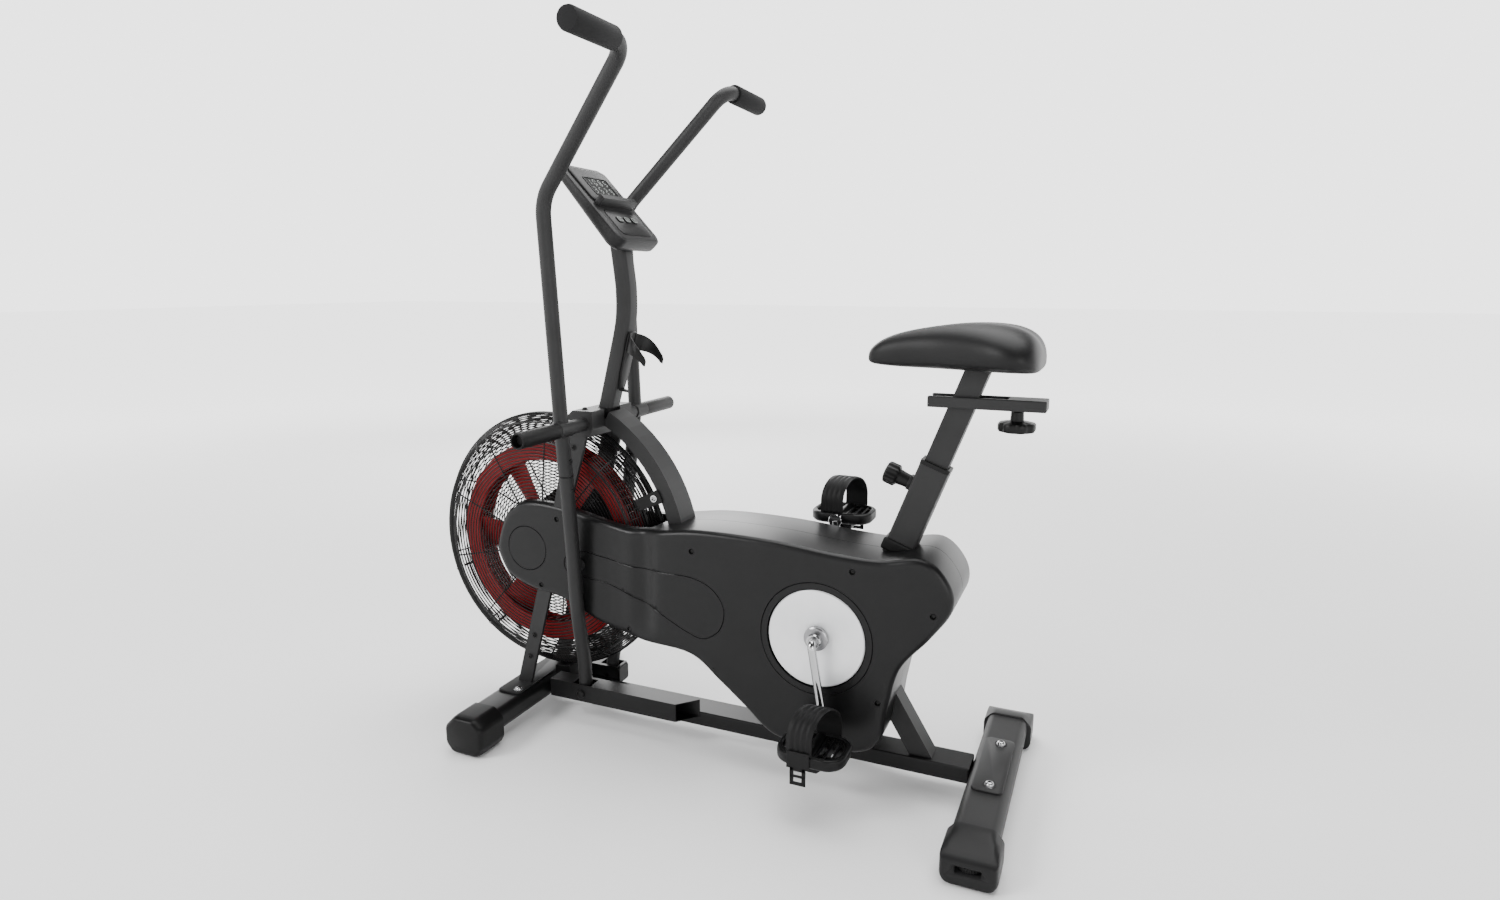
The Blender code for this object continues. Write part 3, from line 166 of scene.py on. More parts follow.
# ---------------------------------------------------------------- materials
def material(name, dark, light, rough, metallic=0.0, grain=400.0, depth=0.1, distance=0.00012,
        shine=0.5, stretch=(1, 1, 1)):
    """A procedural finish: cloudy colour, uneven roughness and a fine surface grain."""
    made = bpy.data.materials.new(name)
    made.use_nodes = True
    tree = made.node_tree
    shader = set_inputs(tree.nodes["Principled BSDF"], Metallic=metallic, Specular_IOR_Level=shine)
    coords = add_node(tree, "TexCoord")
    mapping = add_node(tree, "Mapping", Scale=stretch)
    tree.links.new(coords.outputs["Object"], mapping.inputs["Vector"])
    cloud = add_node(tree, "TexNoise", Scale=14.0, Detail=5.0)
    fine = add_node(tree, "TexNoise", Scale=grain, Detail=3.0)
    for noise in (cloud, fine):
        tree.links.new(mapping.outputs["Vector"], noise.inputs["Vector"])
    colour_ramp(tree, cloud.outputs["Fac"], shader.inputs["Base Color"], dark, light, 0.3, 0.7)
    spread = add_node(tree, "MapRange", To_Min=rough - 0.05, To_Max=rough + 0.06)
    tree.links.new(fine.outputs["Fac"], spread.inputs["Value"])
    tree.links.new(spread.outputs["Result"], shader.inputs["Roughness"])
    bump = add_node(tree, "Bump", Strength=depth, Distance=distance)
    tree.links.new(fine.outputs["Fac"], bump.inputs["Height"])
    tree.links.new(bump.outputs["Normal"], shader.inputs["Normal"])
    return made


PAINT = material("satin_paint", (0.011, 0.011, 0.0112), (0.0145, 0.0145, 0.0147), 0.5, 0.0, 700,
    0.05, shine=0.26)
COVER = material("cover_moulding", (0.0042, 0.0042, 0.0044), (0.0058, 0.0058, 0.006), 0.33, 0.0,
    1500, 0.1, shine=0.22)
PLASTIC = material("black_moulding", (0.0026, 0.0026, 0.0027), (0.0036, 0.0036, 0.0037), 0.38, 0.0,
    1200, 0.1, shine=0.18)
# painted shade: near-black stand-in for the shade inside the bolts' hexagon sockets
SOCKET_SHADE = material("painted_socket_shade", (0.0018, 0.0018, 0.0019), (0.0026, 0.0026, 0.0027), 0.2, 0.0, 300,
    0.02, shine=0.06)
FOAM = material("grip_foam", (0.009, 0.009, 0.0093), (0.0125, 0.0125, 0.0129), 0.8, 0.0, 500, 0.15,
    0.0003, shine=0.14)
RUBBER = material("black_rubber", (0.0028, 0.0028, 0.0029), (0.0045, 0.0045, 0.0046), 0.52, 0.0,
    700, 0.15, shine=0.2)
VINYL = material("saddle_vinyl", (0.004, 0.004, 0.0042), (0.0058, 0.0058, 0.006), 0.44, 0.0, 520,
    0.2, 0.0003, shine=0.2)
RED = material("fan_red", (0.15, 0.004, 0.0055), (0.2, 0.006, 0.0075), 0.4, 0.0, 600, 0.08,
    shine=0.2)
WIRE = material("wire_coating", (0.0035, 0.0035, 0.0036), (0.005, 0.005, 0.0051), 0.32, 0.0, 800,
    0.08, shine=0.22)
CHROME = material("chrome_plate", (0.42, 0.42, 0.43), (0.52, 0.52, 0.52), 0.1, 1.0, 60, 0.02)
SILVER = material("satin_silver", (0.74, 0.75, 0.76), (0.84, 0.84, 0.85), 0.34, 0.35, 300, 0.04)
STEEL = material("turned_steel", (0.26, 0.26, 0.27), (0.38, 0.38, 0.38), 0.3, 1.0, 240, 0.15,
    stretch=(1, 6, 1))
GREY = material("grey_keys", (0.06, 0.06, 0.062), (0.08, 0.08, 0.083), 0.45, 0.0, 900, 0.2)
TRIMSILVER = material("silver_trim", (0.26, 0.27, 0.28), (0.34, 0.35, 0.36), 0.28, 0.8, 500, 0.08)
DISPLAY = material("display_face", (0.006, 0.0066, 0.0062), (0.008, 0.0088, 0.0084), 0.4, 0.0, 200,
    0.02, shine=0.04)
SEGMENT = material("display_mark", (0.2, 0.215, 0.205), (0.26, 0.275, 0.265), 0.35, 0.0, 200, 0.02)
FACE = material("console_face", (0.0075, 0.0075, 0.0077), (0.0095, 0.0095, 0.0098), 0.42, 0.0, 900,
    0.05, shine=0.2)
LENS = material("display_window", (0.01, 0.012, 0.011), (0.014, 0.016, 0.015), 0.1, 0.0, 80, 0.02)


# ---------------------------------------------------------------- shape helpers
def new_object(name, verts, faces, smooth=32):
    mesh = bpy.data.meshes.new(name)
    mesh.from_pydata([tuple(v) for v in verts], [], faces)
    shape = bmesh.new()
    shape.from_mesh(mesh)
    bmesh.ops.remove_doubles(shape, verts=shape.verts, dist=1e-6)
    bmesh.ops.recalc_face_normals(shape, faces=shape.faces)
    shape.to_mesh(mesh)
    shape.free()
    mesh.shade_smooth()
    mesh.set_sharp_from_angle(angle=math.radians(smooth))
    obj = bpy.data.objects.new(name, mesh)
    scene.collection.objects.link(obj)
    return obj


def strips(rows, count, closed=False):
    """Quads between neighbouring rings of points, row by row."""
    quads = []
    for row in range(rows if closed else rows - 1):
        low, high = row * count, (row + 1) % rows * count
        quads += [[low + i, low + (i + 1) % count, high + (i + 1) % count, high + i] for i in
            range(count)]
    return quads


def capped(rows, count):
    """The same, with a flat end on the first and on the last ring."""
    last = (rows - 1) * count
    return strips(rows, count) + [list(range(count))[::-1], list(range(last, last + count))]


def put(obj, body, finish, replaces=()):
    """Give a piece its finish and its body, and hide the CAD nodes it stands for."""
    obj.data.materials.clear()
    obj.data.materials.append(finish)
    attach(obj, body)
    if replaces:
        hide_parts(*([replaces] if isinstance(replaces, str) else replaces))
    return obj


def bevel(obj, width, segments=3, angle=30):
    modifier = obj.modifiers.new("edge", "BEVEL")
    modifier.width = width
    modifier.segments = segments
    modifier.limit_method = "ANGLE"
    modifier.angle_limit = math.radians(angle)
    modifier.harden_normals = True
    return obj


def joined(name, objs, smooth=32):
    """Several shapes as one piece."""
    shape = bmesh.new()
    depsgraph = bpy.context.evaluated_depsgraph_get()
    for obj in objs:
        mesh = bpy.data.meshes.new_from_object(obj.evaluated_get(depsgraph))
        mesh.transform(obj.matrix_world)
        shape.from_mesh(mesh)
        bpy.data.meshes.remove(mesh)
        bpy.data.objects.remove(obj, do_unlink=True)
    mesh = bpy.data.meshes.new(name)
    shape.to_mesh(mesh)
    shape.free()
    mesh.shade_smooth()
    mesh.set_sharp_from_angle(angle=math.radians(smooth))
    obj = bpy.data.objects.new(name, mesh)
    scene.collection.objects.link(obj)
    return obj


def axes(direction):
    """Two unit vectors square to a direction."""
    along = Vector(direction).normalized()
    side = along.cross(Vector((0, 0, 1)) if abs(along.z) < 0.9 else Vector((1, 0, 0))).normalized()
    return side, along.cross(side).normalized(), along


def lathe(name, profile, centre, direction, sides=72, wave=None):
    """Turn a closed (radius, height) profile; wave(angle, radius) may change the radius."""
    side, up, along = axes(direction)
    verts, faces = [], []
    count = len(profile)
    for i in range(sides):
        a = math.tau * i / sides
        for radius, height in profile:
            r = wave(a, radius) if wave else radius
            verts.append(Vector(centre) + (side * math.cos(a) + up * math.sin(a)) * r + along *
                height)
    closed = not (profile[0][0] == 0 and profile[-1][0] == 0)
    for i in range(sides):
        j = (i + 1) % sides
        for k in range(count if closed else count - 1):
            m = (k + 1) % count
            quad = [i * count + k, i * count + m, j * count + m, j * count + k]
            if profile[k][0] == 0:
                quad = quad[:3]
            elif profile[m][0] == 0:
                quad = [quad[0], quad[1], quad[3]]
            faces.append(quad)
    return new_object(name, verts, faces)


def prism(name, outline, frame_of, low, high, edge=0.0, segments=3):
    """A flat outline made thick; frame_of(a, b, t) gives the point."""
    count = len(outline)
    verts = [frame_of(a, b, low) for a, b in outline] + [frame_of(a, b, high) for a, b in outline]
    faces = [list(range(count))[::-1], list(range(count, 2 * count))]
    faces += [[i, (i + 1) % count, count + (i + 1) % count, count + i] for i in range(count)]
    obj = new_object(name, verts, faces)
    if edge:
        bevel(obj, edge, segments)
    return obj


def hand(side):
    return "left" if side < 0 else "right"


def along_y(a, b, t):
    return Vector((a, t, b))


def along_x(a, b, t):
    return Vector((t, a, b))


def along_z(a, b, t):
    return Vector((a, b, t))


def round_corner(back, here, ahead, radius, steps):
    """Points on an arc that rounds one corner of a path."""
    one, two = (back - here).normalized(), (ahead - here).normalized()
    half = one.angle(two) / 2
    reach = min(radius / math.tan(half), (back - here).length * 0.49, (ahead - here).length * 0.49)
    radius = reach * math.tan(half)
    middle = here + (one + two).normalized() * (radius / math.sin(half))
    first, last = here + one * reach, here + two * reach
    points = []
    for step in range(steps + 1):
        spot = first.lerp(last, step / steps) - middle
        points.append(middle + spot.normalized() * radius)
    return points


def rounded(corners, radius, steps=6):
    points = []
    count = len(corners)
    for i in range(count):
        points += round_corner(Vector(corners[i - 1]), Vector(corners[i]),
            Vector(corners[(i + 1) % count]), radius, steps)
    return [tuple(p) for p in points]


def oblong(low, high):
    """Corners of an upright box given two opposite ones."""
    return [(low[0], low[1]), (high[0], low[1]), (high[0], high[1]), (low[0], high[1])]


def rounded_box(low, high, radius, steps=6):
    return rounded(oblong(low, high), radius, steps)


def bent(corners, radii, steps=14):
    corners = [Vector(c) for c in corners]
    path = [corners[0]]
    for before, here, after, radius in zip(corners, corners[1:], corners[2:], radii):
        path += round_corner(before, here, after, radius, steps)
    return path + [corners[-1]]


def sweep(name, path, radius, sides=28, flat=1.0):
    """A round or oval bar along a path, with closed ends."""
    path = [Vector(p) for p in path]
    verts = []
    side = None
    for i, point in enumerate(path):
        along = (path[min(i + 1, len(path) - 1)] - path[max(i - 1, 0)]).normalized()
        if side is None:
            side = along.cross(Vector((0, 0, 1)) if abs(along.z) < 0.9 else Vector((0, 1, 0)))
        side = (side - along * side.dot(along)).normalized()
        up = along.cross(side)
        for k in range(sides):
            a = math.tau * k / sides
            verts.append(point + side * math.cos(a) * radius + up * math.sin(a) * radius * flat)
    return new_object(name, verts, capped(len(path), sides))


def spline(four, steps):
    """Points on the smooth curve from the second of four points up to the third."""
    a, b, c, d = (Vector(p) for p in four)
    curve = []
    for step in range(steps):
        t = step / steps
        curve.append(0.5 * (2 * b + (c - a) * t + (2 * a - 5 * b + 4 * c - d) * t ** 2 +
            (3 * b - a - 3 * c + d) * t ** 3))
    return curve


def smooth_loop(points, steps):
    loop, count = [], len(points)
    for i in range(count):
        loop += spline([points[(i + k - 1) % count] for k in range(4)], steps)
    return loop


def inset(loop, distance):
    """A clockwise loop moved inwards."""
    moved = []
    count = len(loop)
    for i, point in enumerate(loop):
        tangent = Vector(loop[(i + 1) % count]) - Vector(loop[i - 1])
        moved.append(Vector(point) + Vector((tangent.y, -tangent.x)).normalized() * distance)
    return moved


def inside(point, loop):
    """Whether a point lies within a closed loop."""
    hit = False
    x, y = point
    for a, b in zip(loop, loop[1:] + loop[:1]):
        if (a[1] > y) != (b[1] > y) and x < (b[0] - a[0]) * (y - a[1]) / (b[1] - a[1]) + a[0]:
            hit = not hit
    return hit


def loft(name, layers, place):
    """Closed shell through outlines that share their point count: [(outline, height), ...]."""
    verts = [place(a, b, height) for outline, height in layers for a, b in outline]
    return new_object(name, verts, capped(len(layers), len(layers[0][0])), 40)


def raised(name, low, high, radius, top_edge, heights, place, steps=6):
    """A flat pad; top_edge says how far its top is inset and how much tighter its corners are."""
    step, cut = top_edge
    box = rounded_box(low, high, radius, steps)
    top = rounded_box([v + step for v in low], [v - step for v in high], radius - cut, steps)
    return loft(name, list(zip((box, box, top), heights)), place)


def flat_ring(name, outer, inner, heights, place, closed=True):
    """A ring between two outlines; heights go up the outside and down the inside."""
    loops = zip((outer, outer, inner, inner), heights)
    verts = [place(a, b, height) for loop, height in loops for a, b in loop]
    return new_object(name, verts, strips(4, len(outer), closed))


def circle(centre, radius, steps):
    angles = [math.tau * i / steps for i in range(steps)]
    return [centre + Vector((math.cos(a), math.sin(a))) * radius for a in angles]


def upright(loop, side, y):
    """A loop drawn in the side view, stood up at a distance from the middle plane."""
    return [Vector((p[0], side * y, p[1])) for p in loop]


def put_bolts(name, places, direction, radius=0.0065, height=0.0045, finish=None):
    """Dome heads on washers, each with a hexagon socket in painted shade, fixed to the frame."""
    heads, sockets = [], []
    for place in places:
        heads.append(lathe("h", [(0.0, 0.0), (radius * 1.45, 0.0), (radius * 1.45, 0.0009),
            (radius, 0.001), (radius * 0.97, height * 0.45), (radius * 0.78, height * 0.82),
            (radius * 0.5, height), (0.0, height)], place, direction, 36))
        # painted shade: a near-black hexagon just proud of the dome top stands in for the hollow
        # socket
        sockets.append(lathe("k", [(0.0, height * 0.6), (radius * 0.46, height * 0.6),
            (radius * 0.46, height + 0.0002), (0.0, height + 0.0002)], place, direction, 6))
    put(joined(name, heads), "frame", finish or CHROME)
    put(joined(name + "_socket_shade", sockets), "frame", SOCKET_SHADE)


# ---------------------------------------------------------------- covers
FAN, CRANK = Vector((-0.357, 0.377)), Vector((0.27, 0.289))
OUTLINE = [(-0.449, 0.376), (-0.43, 0.432), (-0.405, 0.46), (-0.365, 0.4785), (-0.28, 0.475),
    (-0.14, 0.448), (-0.062, 0.453), (0.035, 0.464), (0.177, 0.4625), (0.3, 0.452), (0.383, 0.45),
    (0.46, 0.461), (0.504, 0.422), (0.51, 0.375), (0.474, 0.319), (0.424, 0.255), (0.405, 0.18),
    (0.3925, 0.114), (0.356, 0.082), (0.28, 0.075), (0.19, 0.08), (0.127, 0.128), (0.075, 0.169),
    (0.011, 0.213), (-0.101, 0.222), (-0.194, 0.238), (-0.289, 0.277), (-0.364, 0.289),
    (-0.42, 0.312), (-0.4395, 0.34)]
SCREWS = [(-0.293, 0.448), (0.021, 0.423), (0.336, 0.425), (0.48, 0.365), (0.388, 0.188),
    (-0.338, 0.302), (0.065, 0.19), (-0.125, 0.24)]
LINK_SEAM = [(-0.238, 0.386), (-0.19, 0.382), (-0.12, 0.372), (-0.05, 0.372), (0.02, 0.371),
    (0.066, 0.352), (0.088, 0.315), (0.078, 0.274), (0.044, 0.252), (0.005, 0.262), (-0.05, 0.288),
    (-0.115, 0.31), (-0.18, 0.328), (-0.238, 0.338)]
GUARD_ROOM, WALL_Y = 0.288, 0.0535  # radius kept clear of the cover, and the wall beside it
INNER_EDGE = 0.0004  # the two halves stop this far from the middle plane
RIM = 0.012  # width of the rounded edge of the cover
DISC_RADIUS, DISC_STEPS = 0.0945, 64
SEAM_HALF, SEAM_DEPTH = 0.0011, 0.0014  # any deeper and the link rods come through
FRONT_HALF, REAR_HALF = 0.075, 0.0885  # half width at the fan and at the crank
GRID_X, GRID_Z = 0.006, 0.007  # spacing of the points that fill the side face


def bell(x, centre, width):
    return math.exp(-((x - centre) / width) ** 2)


def half_width(x, z):
    """How far the cover's side face stands from the middle plane."""
    t = min(max((x + 0.155) / 0.075, 0.0), 1.0)
    base = FRONT_HALF + (REAR_HALF - FRONT_HALF) * t * t * (3 - 2 * t)
    fade = min(max((z - 0.215) / 0.05, 0.0), 1.0)
    return base - fade * (0.002 * bell(x, -0.175, 0.017) + 0.0125 * bell(x, -0.088, 0.024))


def cover_seams():
    """Centre lines of the seams sunk into a cover's side face."""
    rings = ((CRANK, 0.1065), (Vector((-0.37, 0.378)), 0.047), (Vector((-0.256, 0.357)), 0.0225),
        (Vector((-0.256, 0.357)), 0.0125))
    link = [Vector(p) for p in smooth_loop(LINK_SEAM, 5)]
    return [circle(centre, radius, 48) for centre, radius in rings] + [link]


def grid_points(taken, edge):
    """A staggered grid inside the edge that keeps away from the points already there."""
    cell = 0.006
    cells = {}
    for q in taken:
        cells.setdefault((int(q.x // cell), int(q.y // cell)), []).append(q)

    def lonely(point):
        cx, cy = int(point.x // cell), int(point.y // cell)
        near = (q for i in (-1, 0, 1) for j in (-1, 0, 1) for q in cells.get((cx + i, cy + j), ()))
        return all((point - q).length > 0.0042 for q in near)

    found = []
    x, row = -0.445, 0
    while x < 0.51:
        z = 0.08 + (0.0035 if row % 2 else 0.0)
        while z < 0.48:
            point = Vector((x, z))
            if lonely(point) and inside((x, z), edge) and (point - CRANK).length > 0.098:
                found.append(point)
            z += GRID_Z
        x += GRID_X
        row += 1
    return found


def cover_face(side, edge, disc):
    """Side face of a cover with sunk seams and screw holes: its vertices and faces."""
    loops = [(edge, 0.0), (disc, 0.0)]
    for seam in cover_seams():
        for shift, sunk in ((-SEAM_HALF, 0.0), (0.0, SEAM_DEPTH), (SEAM_HALF, 0.0)):
            loops.append((inset(seam, shift), sunk))
    for place in SCREWS:
        for radius, sunk in ((0.0058, 0.0), (0.0052, 0.004)):
            loops.append((circle(Vector(place), radius, 16), sunk))
    spots, depth, edges = [], [], []
    for loop, sunk in loops:
        start, count = len(spots), len(loop)
        spots += [Vector(p) for p in loop]
        depth += [sunk] * count
        edges += [(start + i, start + (i + 1) % count) for i in range(count)]
    border = [tuple(p) for p in edge]
    grid = grid_points(spots, border)
    depth += [0.0] * len(grid)
    result = delaunay_2d_cdt(spots + grid, edges, [], 0, 1e-7)
    points, cells, origin = result[0], result[2], result[3]
    verts = [Vector((p.x, side * (half_width(p.x, p.y) - (depth[o[0]] if o else 0.0)), p.y)) for p,
        o in zip(points, origin)]
    faces = []
    for face in cells:
        middle = sum((points[i] for i in face), Vector((0, 0))) / len(face)
        if inside(tuple(middle), border) and (middle - CRANK).length > DISC_RADIUS - 0.0003:
            faces.append(list(face))
    return verts, faces


def make_cover(side):
    name = hand(side)
    outline = smooth_loop(OUTLINE, 8)
    count = len(outline)
    rings = [outline] + [inset(outline, d) for d in (0.0009, 0.0035, 0.0075, RIM)]
    disc = circle(CRANK, DISC_RADIUS, DISC_STEPS)
    verts, faces = cover_face(side, rings[-1], disc)
    # rim rings, side wall to the middle plane or to the wall beside the guard
    base = len(verts)
    for loop, drop in zip(rings, (RIM, 0.0074, 0.0035, 0.0009, 0.0)):
        verts += [Vector((p[0], side * (half_width(p[0], p[1]) - drop), p[1])) for p in loop]
    for p in outline:
        near_guard = (Vector(p) - FAN).length < GUARD_ROOM
        verts.append(Vector((p[0], side * (WALL_Y if near_guard else INNER_EDGE), p[1])))
    order = [5, 0, 1, 2, 3, 4]
    for a, b in zip(order, order[1:]):
        for i in range(count):
            j = (i + 1) % count
            faces.append([base + a * count + i, base + a * count + j, base + b * count + j,
                base + b * count + i])
    # short wall round the disc
    start = len(verts)
    for drop in (0.0, 0.012):
        verts += [Vector((p.x, side * (half_width(p.x, p.y) - drop), p.y)) for p in disc]
    faces += [[start + n for n in quad] for quad in strips(2, DISC_STEPS)]
    cover = new_object("cover_shell_" + name, verts, faces, 50)
    put(cover, "frame", COVER, "cover_" + name)
    make_cover_wall(side, outline)
    make_cover_trim(side)


def make_cover_wall(side, outline):
    """Inner wall that faces the guard, with an edge that follows it."""
    split = max(range(len(outline)), key=lambda i: (outline[i] - FAN).length > GUARD_ROOM and
        (outline[i - 1] - FAN).length < GUARD_ROOM)
    ordered = outline[split:] + outline[:split]
    border = [p for p in ordered if (p - FAN).length < GUARD_ROOM]
    first, last = border[-1] - FAN, border[0] - FAN
    a, b = math.atan2(first.y, first.x), math.atan2(last.y, last.x)
    steps = 24
    angles = [a + (b - a) * i / steps for i in range(steps + 1)]
    curve = [FAN + Vector((math.cos(t), math.sin(t))) * GUARD_ROOM for t in angles]
    verts = upright(border + curve, side, WALL_Y)
    faces = [list(range(len(verts)))]
    start = len(verts)
    verts += upright(curve, side, WALL_Y) + upright(curve, side, INNER_EDGE)
    faces += [[start + i, start + i + 1, start + steps + 2 + i, start + steps + 1 + i] for i in
        range(steps)]
    put(new_object("cover_wall_" + hand(side), verts, faces), "frame", COVER)


def make_cover_trim(side):
    """Screws, the small boss at the rod's front pivot and the recess behind the disc."""
    name = hand(side)
    head = [(0.0, -0.0005), (0.0045, -0.0005), (0.0045, 0.0004), (0.003, 0.0012), (0.0012, 0.0012),
        (0.0, 0.0002)]
    screws = [lathe("s", head, (x, side * (half_width(x, z) - 0.0036), z), (0, side, 0), 20) for x,
        z in SCREWS]
    put(joined("cover_screws_" + name, screws), "frame", PLASTIC)
    boss = lathe("link_boss_" + name, [(0.0, 0.0), (0.0105, 0.0), (0.0105, 0.0012), (0.0085, 0.002),
        (0.0, 0.002)], (-0.256, side * 0.0742, 0.357), (0, side, 0), 40)
    put(boss, "frame", TRIMSILVER)
    ring = lathe("disc_recess_" + name, [(0.0, 0.0), (0.096, 0.0), (0.096, 0.001), (0.0, 0.001)],
        (CRANK.x, side * 0.0775, CRANK.y), (0, side, 0), 64)
    put(ring, "frame", PLASTIC)


# ---------------------------------------------------------------- guard and fan
def spoke_axes(angle):
    """Outward and sideways directions at an angle about the fan axle."""
    c, s = math.cos(angle), math.sin(angle)
    return Vector((c, 0, s)), Vector((-s, 0, c))


def ring_mesh(rings, side, wire, segments=110, sides=6):
    """Wire rings about the fan axle as raw vertices and faces."""
    verts, faces = [], []
    for radius, y in rings:
        start = len(verts)
        for i in range(segments):
            a = math.tau * i / segments
            for k in range(sides):
                b = math.tau * k / sides
                r = radius + wire * math.cos(b)
                verts.append((FAN.x + r * math.cos(a), side * y + wire * math.sin(b), FAN.y + r *
                    math.sin(a)))
        faces += [[start + n for n in quad] for quad in strips(segments, sides, True)]
    return verts, faces


def guard_profile(t):
    """Radius and distance from the middle plane at t, from hub (0) to outer rim (1)."""
    flat = 0.78
    if t < flat:
        return 0.06 + (0.224 - 0.06) * t / flat, 0.0485
    u = (t - flat) / (1 - flat)
    bend = [(1 - u) ** 2, 2 * u * (1 - u), u * u]
    return (bend[0] * 0.224 + bend[1] * 0.256 + bend[2] * 0.277, bend[0] * 0.0485 + bend[1] * 0.042
        + bend[2] * 0.0022)


def make_guard(side):
    name = hand(side)
    rings = [(0.066 + 0.0069 * i, 0.048) for i in range(23)]
    rings += [guard_profile(0.78 + 0.22 * i / 13) for i in range(0, 13)]
    verts, faces = ring_mesh(rings, side, 0.00125)
    put(new_object("guard_wires_" + name, verts, faces), "frame", WIRE, "guard_" +
        name)
    rim_verts, rim_faces = ring_mesh([(0.2768, 0.003), (0.26, 0.027), (0.225, 0.0478)], side, 0.002,
        128, 8)
    put(new_object("guard_rim_" + name, rim_verts, rim_faces), "frame", WIRE)
    spokes = []
    for k in range(10):
        a = math.tau * (k + 0.35) / 10
        path = []
        for i in range(26):
            radius, y = guard_profile(i / 25)
            path.append((FAN.x + radius * math.cos(a), side * (y - 0.0024), FAN.y + radius *
                math.sin(a)))
        spokes.append(sweep("spoke", path, 0.0016, 8))
    for degrees in (24, 130, 200, 232, 300):
        out, across = spoke_axes(math.radians(degrees))
        path = [Vector((FAN.x, side * guard_profile(t)[1], FAN.y)) + out * guard_profile(t)[0] for t
            in (0.86, 0.9, 0.94, 0.98)]
        spokes.append(sweep("clip", [p + out * 0.0004 for p in path], 0.0034, 10, 0.8))
    put(joined("guard_spokes_" + name, spokes), "frame", WIRE)
    hub = lathe("guard_hub_" + name, [(0.03, 0.0455), (0.068, 0.0455), (0.068, 0.0495),
        (0.03, 0.0495)], (FAN.x, 0, FAN.y), (0, side, 0), 72)
    put(hub, "frame", PLASTIC)
    # lug that ties the guard to the curved bar behind it
    a = math.radians(25)
    out, across = Vector((math.cos(a), math.sin(a))), Vector((-math.sin(a), math.cos(a)))
    corners = [FAN + out * r + across * w for r, w in ((0.246, -0.012), (0.312, -0.014),
        (0.312, 0.014), (0.246, 0.012))]
    lug = prism("guard_lug_" + name, rounded([tuple(c) for c in corners], 0.005, 4), along_y,
        side * 0.0312, side * 0.0345, 0.0008, 2)
    put(lug, "frame", PLASTIC)
    spot = FAN + out * 0.296
    put_bolts("guard_lug_bolt_" + name, [(spot.x, side * 0.0345, spot.y)], (0, side, 0), 0.0048,
        0.004)


def fan_blade(turn):
    """One slightly bowed blade, wider towards the rim."""
    rows, columns = 9, 7
    centre = Vector((FAN.x, 0, FAN.y))
    radial, tangent = spoke_axes(turn)
    verts, faces = [], []
    for i in range(rows):
        t = i / (rows - 1)
        r = 0.058 + (0.186 - 0.058) * t
        half = 0.022 + 0.019 * t
        for j in range(columns):
            w = -1 + 2 * j / (columns - 1)
            bow = 0.006 * (1 - w * w)
            spot = radial * r + tangent * (w * half + bow) + Vector((0, w * (0.012 + 0.0075 * t),
                0))
            for lift in (-0.0007, 0.0007):
                verts.append(centre + spot + tangent * lift * 0.5 + Vector((0, -lift, 0)))

    def at(i, j, layer):
        return (i * columns + j) * 2 + layer

    for i in range(rows - 1):
        for j in range(columns - 1):
            faces.append([at(i, j, 0), at(i, j + 1, 0), at(i + 1, j + 1, 0), at(i + 1, j, 0)])
            faces.append([at(i, j, 1), at(i + 1, j, 1), at(i + 1, j + 1, 1), at(i, j + 1, 1)])
        for j in (0, columns - 1):
            faces.append([at(i, j, 0), at(i + 1, j, 0), at(i + 1, j, 1), at(i, j, 1)])
    for j in range(columns - 1):
        for i in (0, rows - 1):
            faces.append([at(i, j, 0), at(i, j + 1, 0), at(i, j + 1, 1), at(i, j, 1)])
    return new_object("blade", verts, faces)


def fan_vanes():
    """The short slats between the two rim rings."""
    centre = Vector((FAN.x, 0, FAN.y))
    count = 84
    box = ((0, 1, 3, 2), (4, 6, 7, 5), (0, 4, 5, 1), (2, 3, 7, 6), (0, 2, 6, 4), (1, 5, 7, 3))
    verts, faces = [], []
    for k in range(count):
        radial, tangent = spoke_axes(math.tau * k / count)
        start = len(verts)
        for r, lean in ((0.182, -0.005), (0.215, 0.005)):
            for y in (-0.0228, 0.0228):
                for lift in (-0.0006, 0.0006):
                    verts.append(centre + radial * r + tangent * (lean + lift) + Vector((0, y, 0)))
        faces += [[start + n for n in quad] for quad in box]
    return new_object("vanes", verts, faces)


def make_fan():
    centre = (FAN.x, 0, FAN.y)
    pieces = []
    for side in (-1, 1):
        pieces.append(lathe("r", [(0.178, 0.0195), (0.18, 0.023), (0.1985, 0.025), (0.2155, 0.023),
            (0.2175, 0.0195), (0.216, 0.0195), (0.1985, 0.0233), (0.1795, 0.0195)], centre,
            (0, side, 0), 128))
        pieces.append(lathe("h", [(0.015, 0.026), (0.062, 0.026), (0.064, 0.0275), (0.062, 0.029),
            (0.03, 0.029), (0.026, 0.036), (0.015, 0.036)], centre, (0, side, 0), 72))
    pieces.append(lathe("b", [(0.0063, -0.042), (0.03, -0.042), (0.03, 0.042), (0.014, 0.042),
        (0.014, 0.056), (0.0063, 0.056)], centre, (0, 1, 0), 48))
    pieces += [fan_blade(-math.tau * k / 6) for k in range(6)]
    pieces.append(fan_vanes())
    put(joined("fan_rotor", pieces), "fan", RED, "fan_wheel")
    pulley = lathe("fan_pulley_rim", [(0.0135, 0.0567), (0.027, 0.0567), (0.027, 0.0573),
        (0.025, 0.0576), (0.025, 0.062), (0.027, 0.0623), (0.027, 0.0629), (0.0135, 0.0629)],
        centre, (0, 1, 0), 64)
    put(pulley, "fan", STEEL)


# ---------------------------------------------------------------- swing arms
ARM_FOOT = (-0.254, 0, 0.0705)
ARM_PIN = (-0.2385, 0, 0.36)
CROSS_BAR = (-0.222, 0, 0.648)


